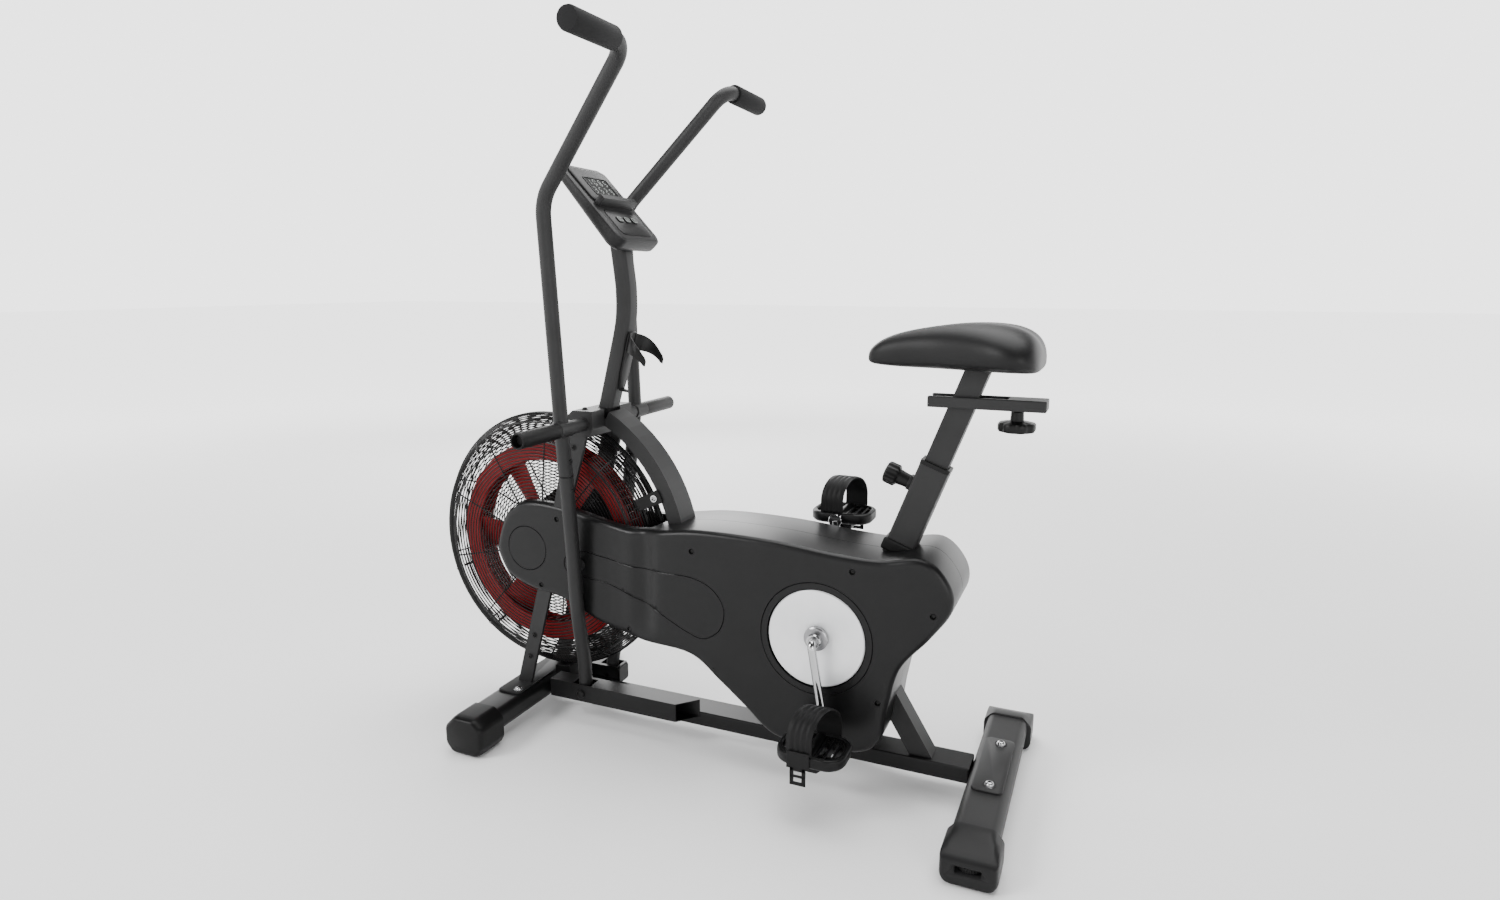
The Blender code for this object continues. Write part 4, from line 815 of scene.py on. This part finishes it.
def make_arm(side):
    name = hand(side)
    body = "arm_" + name
    points = [(ARM_FOOT[0], 0.05, ARM_FOOT[2]), (-0.246, 0.063, 0.15), (-0.239, 0.0925, 0.26),
        (-0.2385, 0.101, 0.4), (-0.2318, 0.1225, 0.555)]
    lower = [Vector((x, side * y, z)) for x, y, z in points]
    middle, elbow, corner, end = (Vector((x, side * y, z)) for x, y, z in ((-0.2275, 0.1365, 0.648),
        (-0.245, 0.142, 1.068), (-0.033, 0.193, 1.301), (-0.03, 0.3535, 1.298)))
    lever = sweep("l", bent(lower, [0.5, 0.5, 0.5], 10), 0.014)
    boss = lathe("b", [(0.0053, 0.0365), (0.0135, 0.0365), (0.0145, 0.0375), (0.0145, 0.0625),
        (0.0135, 0.0635), (0.0053, 0.0635)], ARM_FOOT, (0, side, 0), 40)
    pin = lathe("p", [(0.0, 0.0765), (0.011, 0.0765), (0.012, 0.0775), (0.012, 0.094),
        (0.0, 0.094)], ARM_PIN, (0, side, 0), 40)
    put(joined("lever_tube_" + name, [lever, boss, pin]), body, PAINT, "lever_" +
        name)
    up = (middle - lower[-1]).normalized()
    start = lower[-1] + up * 0.0004
    bar = sweep("a", bent([start, middle, elbow, corner, end], [0.1, 0.075, 0.042], 18), 0.014)
    barrel = lathe("c", [(0.0, 0.117), (0.0143, 0.117), (0.0155, 0.118), (0.0155, 0.16),
        (0.0147, 0.161), (0.0115, 0.161), (0.0115, 0.262), (0.0, 0.262)], CROSS_BAR, (0, side, 0),
        56)
    put(joined("handlebar_tube_" + name, [bar, barrel]), body, PAINT, "handlebar_" +
        name)
    collar = lathe("arm_joint_" + name, [(0.0138, -0.002), (0.0148, -0.0012), (0.0148, 0.0012),
        (0.0138, 0.002)], lower[-1], up, 48)
    put(collar, body, PLASTIC)
    rear = Vector((1, 0, 0))

    heads = [lathe("h", [(0.0, -0.003), (0.0048, -0.003), (0.0048, 0.0), (0.0036, 0.0026),
        (0.0, 0.0034)], lower[-1] + up * d + rear * 0.0136, rear, 24) for d in (-0.03, 0.03)]
    put(joined("arm_bolts_" + name, heads), body, PLASTIC)
    # foam grip: soft shoulders, slightly open end with a plug
    out = (end - corner).normalized()
    profile = [(0.0143, 0.0), (0.0176, 0.0004), (0.019, 0.003), (0.019, 0.125), (0.0176, 0.129),
        (0.012, 0.13), (0.004, 0.1303), (0.0, 0.1303), (0.0, 0.1245), (0.0143, 0.124)]
    grip = lathe("grip_foam_" + name, profile, end - out * 0.1237, out, 56)
    put(grip, body, FOAM, "grip_" + name)
    peg = [(0.0118, 0.1615), (0.0143, 0.1615), (0.015, 0.1625), (0.015, 0.2755), (0.0142, 0.277),
        (0.0124, 0.277), (0.0118, 0.2764)]
    put(lathe("peg_sleeve_" + name, peg, CROSS_BAR, (0, side, 0), 56), body, RUBBER,
        "foot_peg_" + name)


# ---------------------------------------------------------------- console
CONSOLE_X, CONSOLE_Z, CONSOLE_TILT = -0.255, 1.143, math.radians(46.6)
LIT = ("abcdef", "bc", "abdeg", "abcdg", "bcfg", "acdfg", "acdefg", "abc", "abcdefg", "abcdfg")
STROKES = {"a": (0, 0, 0, 1), "b": (0, 1, 1, 1), "c": (1, 1, 2, 1), "d": (2, 0, 2, 1),
    "e": (1, 0, 2, 0), "f": (0, 0, 1, 0), "g": (1, 0, 1, 1)}


def console_point(a, b, t):
    """Local a runs down the face, b is across, t is out of the face."""
    c, s = math.cos(CONSOLE_TILT), math.sin(CONSOLE_TILT)
    if t < 0:
        t *= 0.58 + 0.42 * min(a / 0.15, 1.0)
    return Vector((CONSOLE_X + a * c + t * s, b, CONSOLE_Z - a * s + t * c))


def digit_marks(digit, top, left):
    """The lit strokes of one figure on the display."""
    size, pad, gap = 0.007, 0.0008, 0.0012
    marks = []
    for key in LIT[digit]:
        r0, c0, r1, c1 = STROKES[key]
        a0, b0, a1, b1 = top + r0 * size, left + c0 * size, top + r1 * size, left + c1 * size
        along, across = gap if r0 != r1 else -pad, gap if c0 != c1 else -pad
        marks.append(prism("m", oblong((min(a0, a1) + along, min(b0, b1) + across),
            (max(a0, a1) - along, max(b0, b1) - across)), console_point, 0.0048, 0.0051))
    return marks


def make_console():
    layers = []
    for shrink, height in ((0.03, -0.034), (0.016, -0.0335), (0.005, -0.03), (0.0008, -0.024),
            (0.0, -0.016), (0.0, -0.006), (0.0012, -0.0022), (0.0045, -0.0004), (0.007, 0.0)):
        layers.append((rounded_box((shrink, -0.078 + shrink), (0.199 - shrink, 0.078 - shrink),
            max(0.024 - shrink, 0.004), 8), height))
    body = loft("console_shell", layers, console_point)
    put(body, "frame", FACE, "console")
    upper = raised("console_upper", (0.012, -0.063), (0.1, 0.063), 0.012, (0.0025, 0.002),
        (-0.001, 0.0032, 0.0046), console_point)
    put(upper, "frame", FACE)
    window = rounded_box((0.036, -0.041), (0.084, 0.041), 0.005, 6)
    inner = rounded_box((0.038, -0.039), (0.082, 0.039), 0.003, 6)
    edge = flat_ring("display_frame", window, inner, (0.0044, 0.0058, 0.0058, 0.0047),
        console_point, False)
    put(edge, "frame", FACE)
    face = prism("display_panel", inner, console_point, 0.004, 0.0049)
    put(face, "frame", DISPLAY, "console_window")
    marks = []
    for top, digits in ((0.042, (1, 0, 8, 5)), (0.0635, (3, 6, 2, 9))):
        for k, digit in enumerate(digits):
            marks += digit_marks(digit, top, -0.032 + k * 0.0185)
    put(joined("display_marks", marks), "frame", SEGMENT)
    shelf = raised("tablet_ledge", (0.0985, -0.062), (0.1115, 0.062), 0.0035, (0.0015, 0.001),
        (-0.002, 0.0165, 0.019), console_point, 5)
    put(shelf, "frame", FACE)
    lower = raised("key_panel", (0.118, -0.056), (0.184, 0.056), 0.012, (0.001, 0.001),
        (-0.001, 0.0008, 0.0012), console_point)
    put(lower, "frame", PLASTIC)
    for k in range(3):
        make_key(str(k + 1), (k - 1) * 0.026)


def make_key(number, across):
    """A key and the plain square sign with two bars on it."""
    body = "button_" + number
    key = raised("key_" + number, (0.138, across - 0.009), (0.152, across + 0.009), 0.004,
        (0.0008, 0.0005), (-0.003, 0.0026, 0.0034), console_point)
    put(key, body, PLASTIC, body)
    outer, inner = (rounded_box((0.1395 + d, across - 0.0078 + d),
        (0.1505 - d, across + 0.0078 - d), 0.0028, 4) for d in (0.0, 0.0013))
    sign = [flat_ring("o", outer, inner, (0.003, 0.0037, 0.0037, 0.003), console_point)]
    for a in (0.1425, 0.1455):
        bar = rounded_box((a, across - 0.004), (a + 0.0015, across + 0.004), 0.0006, 3)
        sign.append(prism("t", bar, console_point, 0.0033, 0.0037))
    put(joined("key_mark_" + number, sign), body, SEGMENT)


# ---------------------------------------------------------------- crank and pedals
SWING, CRANK_LENGTH = math.radians(10.0), 0.17


def crank_tip(side):
    reach = -side * CRANK_LENGTH
    return Vector((CRANK.x + reach * math.sin(SWING), CRANK.y - reach * math.cos(SWING)))


def make_crank(side):
    name = hand(side)
    centre = (CRANK.x, 0, CRANK.y)
    disc = lathe("disc_plate_" + name, [(0.01, 0.079), (0.026, 0.079), (0.03, 0.08),
        (0.064, 0.0862), (0.08, 0.0872), (0.09, 0.0866), (0.092, 0.085), (0.0912, 0.0838),
        (0.08, 0.0846), (0.064, 0.0838), (0.03, 0.0775), (0.01, 0.0768)], centre, (0, side, 0), 120)
    put(disc, "crank", SILVER, "crank_disc_" + name)
    tip = crank_tip(side)
    toward = (tip - CRANK).normalized()
    offset = CRANK + Vector((toward.y, -toward.x)) * 0.03
    sheave = lathe("sheave_" + name, [(0.038, 0.0655), (0.043, 0.0655), (0.043, 0.076),
        (0.038, 0.076)], (offset.x, 0, offset.y), (0, side, 0), 56)
    put(sheave, "crank", STEEL)
    path = bent([(CRANK.x, side * 0.092, CRANK.y), (CRANK.x, side * 0.1125, CRANK.y),
        (tip.x, side * 0.1125, tip.y)], [0.013], 12)
    arm = sweep("a", path, 0.0076, 28)
    hub = lathe("h", [(0.0, 0.089), (0.0125, 0.089), (0.0135, 0.09), (0.0135, 0.099),
        (0.012, 0.101), (0.0, 0.101)], centre, (0, side, 0), 48)
    washer = lathe("crank_washer_" + name, [(0.0, 0.08), (0.0215, 0.08), (0.0225, 0.081),
        (0.0225, 0.088), (0.0205, 0.0895), (0.0, 0.0895)], centre, (0, side, 0), 56)
    put(washer, "crank", STEEL)
    eye = lathe("e", [(0.0, 0.1075), (0.0125, 0.1075), (0.0135, 0.1085), (0.0135, 0.1175),
        (0.0125, 0.1185), (0.0, 0.1185)], (tip.x, 0, tip.y), (0, side, 0), 40)
    spindle = lathe("s", [(0.0, 0.118), (0.009, 0.118), (0.009, 0.123), (0.0068, 0.1235),
        (0.0068, 0.208), (0.0, 0.208)], (tip.x, 0, tip.y), (0, side, 0), 32)
    put(joined("crank_bar_" + name, [arm, hub, eye, spindle]), "crank", CHROME,
        "crank_arm_" + name)
    make_pedal(side, tip)


def make_pedal(side, tip):
    name = hand(side)
    body = "pedal_" + name
    y = side * 0.172

    def block(low, high, edge=0.001):
        outline = oblong((tip.x + low[0], tip.y + low[2]), (tip.x + high[0], tip.y + high[2]))
        return prism("k", outline, along_y, y + low[1], y + high[1], edge, 2)

    outline = rounded_box((tip.x - 0.062, y - 0.047), (tip.x + 0.062, y + 0.047), 0.034, 10)
    lip = rounded_box((tip.x - 0.059, y - 0.044), (tip.x + 0.059, y + 0.044), 0.031, 10)
    hole = rounded_box((tip.x - 0.053, y - 0.038), (tip.x + 0.053, y + 0.038), 0.026, 10)
    rows = [(outline, -0.006), (outline, 0.0085), (lip, 0.011), (hole, 0.011), (hole, -0.01),
        (lip, -0.01)]
    verts = [Vector((a, b, tip.y + z)) for loop, z in rows for a, b in loop]
    pieces = [bevel(new_object("f", verts, strips(len(rows), len(outline), True)), 0.001, 2, 25)]
    pieces.append(lathe("b", [(0.0073, -0.04), (0.0125, -0.04), (0.0125, 0.04), (0.0073, 0.04)],
        (tip.x, y, tip.y), (0, 1, 0), 32))
    for step in (-0.042, -0.028, -0.014, 0.014, 0.028, 0.042):
        half = 0.036 - (0.006 if abs(step) > 0.04 else 0.0)
        pieces.append(block((step - 0.0022, -half, -0.007), (step + 0.0022, half, 0.009)))
    for across in (-0.024, 0.024):
        pieces.append(block((-0.05, across - 0.0022, -0.006), (0.05, across + 0.0022, 0.0075)))
    for across in (-0.0425, 0.0425):
        for middle in (-0.02, 0.02):
            pieces.append(block((middle - 0.0125, across - 0.0024, 0.01),
                (middle + 0.0125, across + 0.0024, 0.0122)))
    weight = [(tip.x + a, tip.y + b) for a, b in ((-0.022, -0.006), (0.022, -0.006),
        (0.018, -0.028), (0.009, -0.036), (-0.009, -0.036), (-0.018, -0.028))]
    pieces.append(prism("w", rounded(weight, 0.005, 5), along_y, y - 0.015, y + 0.015, 0.0025, 3))
    put(joined("pedal_body_" + name, pieces), body, PLASTIC, "pedal_" + name)
    # ribbed strap over the shoe, with a slotted tail outside
    half, top, thick, skew = 0.0437, 0.0768, 0.00115, 0.3
    base = tip.y + 0.0113
    centre = tip.y + top - half
    path = [((y - half, base + (centre - base) * i / 6), (-1, 0)) for i in range(6)]
    path += [((y - half * math.cos(a), centre + half * math.sin(a)), (-math.cos(a), math.sin(a)))
        for a in (math.pi * i / 40 for i in range(41))]
    path += [((y + half, centre - (centre - base) * i / 6), (1, 0)) for i in range(1, 7)]
    section = [(-0.023, -thick), (-0.023, thick)]
    for k in range(4):
        middle = -0.015 + 0.01 * k
        section += [(middle - 0.0033, thick), (middle - 0.0022, thick + 0.0011),
            (middle + 0.0022, thick + 0.0011), (middle + 0.0033, thick)]
    section += [(0.023, thick), (0.023, -thick)]
    verts = [Vector((tip.x + w + skew * (spot[0] - y), spot[0] + out[0] * lift, spot[1] + out[1] *
        lift)) for spot, out in path for w, lift in section]
    strap = [new_object("b", verts, capped(len(path), len(section)), 40)]
    middle = tip.x + skew * side * half
    outside = y + side * 0.0482

    def plate(low, high):
        outline = oblong((middle + low[0], tip.y + low[1]), (middle + high[0], tip.y + high[1]))
        return prism("t", outline, along_y, outside - 0.0012, outside + 0.0012, 0.0008, 2)

    strap.append(plate((-0.0205, -0.013), (0.0205, 0.018)))
    for across in (-0.0108, 0.0108):
        strap.append(plate((across - 0.0036, -0.04), (across + 0.0036, -0.01)))
    for low, high in ((-0.0435, -0.037), (-0.029, -0.0245), (-0.0175, -0.011)):
        strap.append(plate((-0.0144, low), (0.0144, high)))
    put(joined("strap_" + name, strap), body, RUBBER, "toe_strap_" + name)


# ---------------------------------------------------------------- saddle and its post
def make_saddle():
    stations = [(0.332, 0.006, 0.799, 0.79), (0.3345, 0.013, 0.807, 0.786),
        (0.342, 0.02, 0.816, 0.783), (0.356, 0.026, 0.826, 0.7815), (0.38, 0.031, 0.836, 0.78),
        (0.41, 0.036, 0.8435, 0.7795), (0.44, 0.044, 0.849, 0.7795), (0.47, 0.056, 0.8535, 0.7795),
        (0.5, 0.072, 0.857, 0.7795), (0.53, 0.089, 0.8588, 0.7795), (0.555, 0.102, 0.8582, 0.7796),
        (0.58, 0.109, 0.855, 0.7797), (0.6, 0.107, 0.848, 0.7798), (0.613, 0.098, 0.8385, 0.78),
        (0.6205, 0.085, 0.828, 0.781), (0.6245, 0.066, 0.818, 0.784), (0.6255, 0.044, 0.808, 0.789)]
    count = 40
    verts = []
    for x, half, top, bottom in stations:
        middle = bottom + (top - bottom) * 0.3
        back = min(max((x - 0.5) / 0.1, 0.0), 1.0)
        for k in range(count):
            a = math.tau * k / count
            c, s = math.cos(a), math.sin(a)
            if s >= 0:
                across = half * math.copysign(abs(c) ** 0.85, c)
                up = middle + (top - middle) * s ** (0.78 + 0.22 * back)
                up -= 0.0045 * back * math.exp(-(across / 0.022) ** 2)
            else:
                across = half * math.copysign(abs(c) ** 0.45, c) * (1 - 0.1 * (-s))
                up = middle - (middle - bottom) * (-s) ** 0.5
            verts.append((x, across, up))
    saddle = new_object("saddle_pad", verts, capped(len(stations), count), 180)
    modifier = saddle.modifiers.new("smooth", "SUBSURF")
    modifier.levels = 2
    modifier.render_levels = 2
    put(saddle, "saddle", VINYL, "saddle")


SEAT_TILT = math.radians(20.7)
TUBE_MOUTH = Vector((0.459, 0, 0.611))


def fluted(a, r):
    """Ten shallow flutes round the grip of the pull pin."""
    return r * (1 + (0.05 * math.cos(10 * a) if r > 0.0165 else 0.0))


def lobed(a, r):
    """Eight finger hollows round the clamp knob."""
    return r * (1 - (0.07 * (0.5 + 0.5 * math.cos(8 * a)) ** 2 if r > 0.02 else 0.0))


def ribbed(a, r):
    """Fine ribs round a leveller wheel."""
    return r * (1 + (0.035 * math.cos(28 * a) if r > 0.015 else 0.0))


def make_seat_details():
    c, s = math.cos(SEAT_TILT), math.sin(SEAT_TILT)
    front, along = Vector((-c, 0, s)), Vector((s, 0, c))
    base = TUBE_MOUTH - along * 0.05 + front * 0.0265

    knob = lathe("pin_grip", [(0.0, -0.0042), (0.0052, -0.0042), (0.0058, 0.0003), (0.011, 0.0003),
        (0.0125, 0.0015), (0.0125, 0.012), (0.014, 0.026), (0.017, 0.0285), (0.0188, 0.03),
        (0.019, 0.032), (0.019, 0.047), (0.0175, 0.0505), (0.014, 0.052), (0.0, 0.0515)], base,
        front, 80, fluted)
    put(knob, "pin_knob", PLASTIC, "pin_knob")
    nut = lathe("pin_nut", [(0.0132, 0.0004), (0.015, 0.0004), (0.015, 0.006), (0.0132, 0.007)],
        base, front, 6)
    put(nut, "frame", PAINT)
        
    turn = lathe("clamp_grip", [(0.0, 0.0005), (0.0055, 0.0005), (0.0055, 0.006), (0.0105, 0.0065),
        (0.0112, 0.021), (0.022, 0.0225), (0.03, 0.0245), (0.0315, 0.027), (0.0315, 0.0355),
        (0.0295, 0.039), (0.023, 0.0405), (0.0, 0.04)], (0.5885, 0, 0.717), (0, 0, -1), 112, lobed)
    put(turn, "slide_knob", PLASTIC, "slide_knob")

    def on_tube(a, b, t):
        return TUBE_MOUTH - front * a + Vector((0, b, 0)) + along * t

    outer = rounded_box((-0.0272, -0.0207), (0.0272, 0.0207), 0.006, 5)
    inner = rounded_box((-0.0218, -0.0152), (0.0218, 0.0152), 0.003, 5)
    bush = flat_ring("tube_mouth_bush", outer, inner, (-0.006, 0.0018, 0.0018, -0.006), on_tube)
    put(bevel(bush, 0.0006, 2), "frame", PLASTIC)


# ---------------------------------------------------------------- base details
def cut_out(obj, cutters):
    """Take the cutters out of an object for good."""
    for cutter in cutters:
        modifier = obj.modifiers.new("cut", "BOOLEAN")
        modifier.operation = "DIFFERENCE"
        modifier.solver = "EXACT"
        modifier.object = cutter
    depsgraph = bpy.context.evaluated_depsgraph_get()
    mesh = bpy.data.meshes.new_from_object(obj.evaluated_get(depsgraph))
    obj.modifiers.clear()
    obj.data = mesh
    for cutter in cutters:
        bpy.data.objects.remove(cutter, do_unlink=True)


def make_cap(side, front):
    name = ("front" if front else "rear") + "_cap_" + hand(side)
    if front:
        corners = [(-0.43, 0.0), (-0.366, 0.0), (-0.354, 0.02), (-0.354, 0.06), (-0.374, 0.078),
            (-0.424, 0.078), (-0.446, 0.056), (-0.446, 0.02)]
    else:
        corners = [(0.545, 0.0), (0.621, 0.0), (0.629, 0.012), (0.629, 0.05), (0.613, 0.068),
            (0.553, 0.068), (0.537, 0.05), (0.537, 0.012)]
    outline = [Vector(p) for p in rounded(corners, 0.015, 8)]
    middle = Vector((sum(p[0] for p in corners) / 8, 0.038))

    def ring(scale, y, slope=0.0):
        points = []
        for p in outline:
            spot = middle + (p - middle) * scale
            spot.y = max(spot.y, 0.0)
            if slope:
                spot.y = min(spot.y, 0.068 - slope)
            points.append(Vector((spot.x, side * y, spot.y)))
        return points


    if front:
        rings = [ring(0.93, 0.195), ring(1.0, 0.1975), ring(1.0, 0.246), ring(0.985, 0.256),
            ring(0.955, 0.262), ring(0.9, 0.2658), ring(0.82, 0.267)]
    else:
        rings = [ring(0.93, 0.195), ring(1.0, 0.1975), ring(1.0, 0.216), ring(1.0, 0.232, 0.006),
            ring(1.0, 0.25, 0.0135), ring(0.985, 0.259, 0.018), ring(0.955, 0.2635, 0.021),
            ring(0.91, 0.2662, 0.024), ring(0.84, 0.267, 0.0275)]
    verts = [v for loop in rings for v in loop]
    cap = new_object(name + "_shell", verts, capped(len(rings), len(outline)), 40)
    if not front:
        window = prism("w", rounded_box((0.562, 0.0235), (0.604, 0.0365), 0.002, 4), along_y,
            side * 0.2215, side * 0.3)
        hollow = lathe("w", [(0.0, 0.0238), (0.0222, 0.0238), (0.0222, 0.0362), (0.0, 0.0362)],
            (0.583, side * 0.2435, 0), (0, 0, 1), 48)
        cut_out(cap, (window, hollow))
    put(cap, "frame", PLASTIC if front else FACE, name)
    if not front:
        wheel = lathe("leveller_wheel_" + hand(side), [(0.0, -0.0038), (0.0195, -0.0038),
            (0.0203, -0.003), (0.0203, 0.003), (0.0195, 0.0038), (0.0, 0.0038)],
            (0.583, side * 0.2435, 0.03), (0, 0, 1), 168, ribbed)
        put(wheel, "leveller_" + hand(side), RUBBER, "leveller_" + hand(side))


def make_stabilisers():
    front = rounded_box((-0.438, 0.024), (-0.362, 0.07), 0.015, 10)
    rear = rounded_box((0.545, 0.021), (0.621, 0.065), 0.015, 10)
    put(prism("front_tube", front, along_y, -0.232, 0.232), "frame", COVER,
        "front_stabiliser")
    put(prism("rear_tube", rear, along_y, -0.2145, 0.2145), "frame", PAINT,
        "rear_stabiliser")
    plate = raised("rear_saddle_plate", (0.556, -0.095), (0.61, 0.095), 0.012, (0.001, 0.001),
        (0.0652, 0.0682, 0.069), along_z)
    put(plate, "frame", PAINT)
    put_bolts("rear_bolts", [(0.586, y, 0.069) for y in (-0.0735, 0.0735)], (0, 0, 1), 0.0078,
        0.0062)
    saddle = raised("front_saddle_plate", (-0.428, -0.125), (-0.372, 0.125), 0.01, (0.001, 0.001),
        (0.0702, 0.0728, 0.0735), along_z)
    put(saddle, "frame", PAINT)
    put_bolts("front_bolts", [(-0.384, y, 0.0735) for y in (-0.108, 0.108)], (0, 0, 1), 0.0072,
        0.0056)


def make_frame_bolts():
    for side in (-1, 1):
        name = hand(side)
        put_bolts("fork_bolts_" + name, [(-0.3648, side * 0.0717, 0.185), (-0.3785, side * 0.0717,
            0.135), (-0.247, side * 0.0717, 0.6)], (0, side, 0), 0.0042, 0.0032, PLASTIC)
    plug = prism("bracket_plug", rounded_box((0.0305, 0.0535), (0.0705, 0.0925), 0.008, 6), along_x,
        -0.23, -0.2215, 0.003, 3)
    put(plug, "frame", PLASTIC)
    put_bolts("bracket_bolts", [(-0.232, y, 0.6745) for y in (-0.05, 0.05)], (0, 0, 1), 0.0052,
        0.0042, PLASTIC)
    for side in (-1, 1):
        name = hand(side)
        head = lathe("pivot_head_" + name, [(0.0, 0.037), (0.005, 0.037), (0.005, 0.0703),
            (0.0095, 0.0703), (0.0095, 0.0722), (0.0078, 0.0745), (0.0045, 0.0758), (0.0, 0.076)],
            ARM_FOOT, (0, side, 0), 40)
        put(head, "frame", PLASTIC, "pivot_bolt_" + name)


CAGE_X, CAGE_Z, CAGE_TILT = -0.1622, 0.766, math.radians(15.0)


def make_bottle_cage():
    """Back plate, a small pointed foot and two drooping claws."""
    c, s = math.cos(CAGE_TILT), math.sin(CAGE_TILT)

    def place(a, b, t):
        return Vector((CAGE_X + a * c + t * s, b, CAGE_Z - a * s + t * c))

    def on_back(a, b, t):
        return place(t, a, b)

    plate = [(-0.0155, 0.062), (-0.0155, -0.02), (-0.009, -0.058), (0.009, -0.058), (0.0155, -0.02),
        (0.0155, 0.062)]
    pieces = [prism("p", rounded(plate, 0.005, 5), on_back, -0.0018, 0.0018, 0.0009, 2),
        prism("f", rounded([(-0.0015, -0.009), (0.01, -0.008), (0.018, 0.0), (0.01, 0.008),
        (-0.0015, 0.009)], 0.003, 4), place, -0.058, -0.055, 0.0008, 2)]
    for way in (-1, 1):
        verts = []
        steps = 26
        for i in range(steps):
            angle = math.radians(168 - (168 - 70) * i / (steps - 1))
            for radius, up in ((0.0345, -1), (0.0345, 1), (0.0375, 1), (0.0375, -1)):
                a = 0.037 + radius * math.cos(angle) * (1.8 if angle < math.pi / 2 else 1.0)
                reach = max(a, 0.0)
                tall = 0.018 * (1 - 0.55 * min(reach / 0.05, 1.0))
                if i == steps - 1:
                    tall *= 0.6
                verts.append(place(a, way * radius * math.sin(angle), 0.042 - 7.0 * reach * reach +
                    up * tall))
        pieces.append(bevel(new_object("c", verts, capped(steps, 4)), 0.0009, 2, 50))
    put(joined("bottle_holder", pieces), "frame", PLASTIC, "bottle_cage")


MAST_LINE = [(-0.2075, 0.6748), (-0.2, 0.7), (-0.178, 0.782), (-0.164, 0.837), (-0.1597, 0.868),
    (-0.1592, 0.9), (-0.1612, 0.93), (-0.1735, 1.027)]


def make_mast():
    """Rounded square tube that leans back, straightens and tips towards the console."""
    smooth = []
    last = len(MAST_LINE) - 1
    for i in range(last):
        smooth += spline([MAST_LINE[min(max(i + k - 1, 0), last)] for k in range(4)], 8)
    smooth.append(Vector(MAST_LINE[-1]))

    layers = [(rounded_box((p.x - 0.0165, -0.018), (p.x + 0.0165, 0.018), 0.007, 5), p.y) for p in
        smooth]
    put(loft("mast_tube", layers, along_z), "frame", PAINT, "mast")


# ---------------------------------------------------------------- carried-over pieces
def dress_nodes():
    """Finishes and soft edges for the CAD pieces that stay as they are."""
    finishes = {"frame_paint": PAINT, "cover_plastic": COVER, "trim_plastic": PLASTIC,
        "black_rubber": RUBBER, "grip_foam": FOAM, "fan_red": RED, "guard_wire": WIRE, "chrome":
        CHROME, "disc_silver": SILVER, "bright_steel": STEEL, "saddle_vinyl": VINYL,
        "display_window": LENS, "button_grey": GREY}
    slots = {part["node"]: part["material_slot"] for part in frame["record"]["subparts"]}
    edges = {"base_rail": 0.003, "side_box": 0.0035, "pivot_bracket_right": 0.003, "fork_left":
        0.0025, "fork_right": 0.0025, "arch_frame": 0.0035, "top_bracket": 0.0025, "seat_tube":
        0.0015, "seat_tube_collar": 0.0015, "rear_brace": 0.0035, "seat_post": 0.0012,
        "saddle_slide": 0.0015, "drive_pulley": 0.0003}
    dark = {"base_rail", "side_box", "pivot_bracket_right"}
    for name, node in frame["nodes"].items():
        finish = COVER if name in dark else finishes[slots[name]]
        if not node.material_slots:
            node.data.materials.append(finish)
        for slot in node.material_slots:
            slot.link = "OBJECT"
            slot.material = finish
        if name in edges and not node.hide_render:
            bevel(node, edges[name], 3, 40)


for each in (-1, 1):
    make_cover(each)
    make_guard(each)
    make_arm(each)
    make_crank(each)
    make_cap(each, True)
    make_cap(each, False)
make_fan()
make_console()
make_saddle()
make_seat_details()
make_stabilisers()
make_frame_bolts()
make_bottle_cage()
make_mast()
dress_nodes()

bpy.context.view_layer.update()
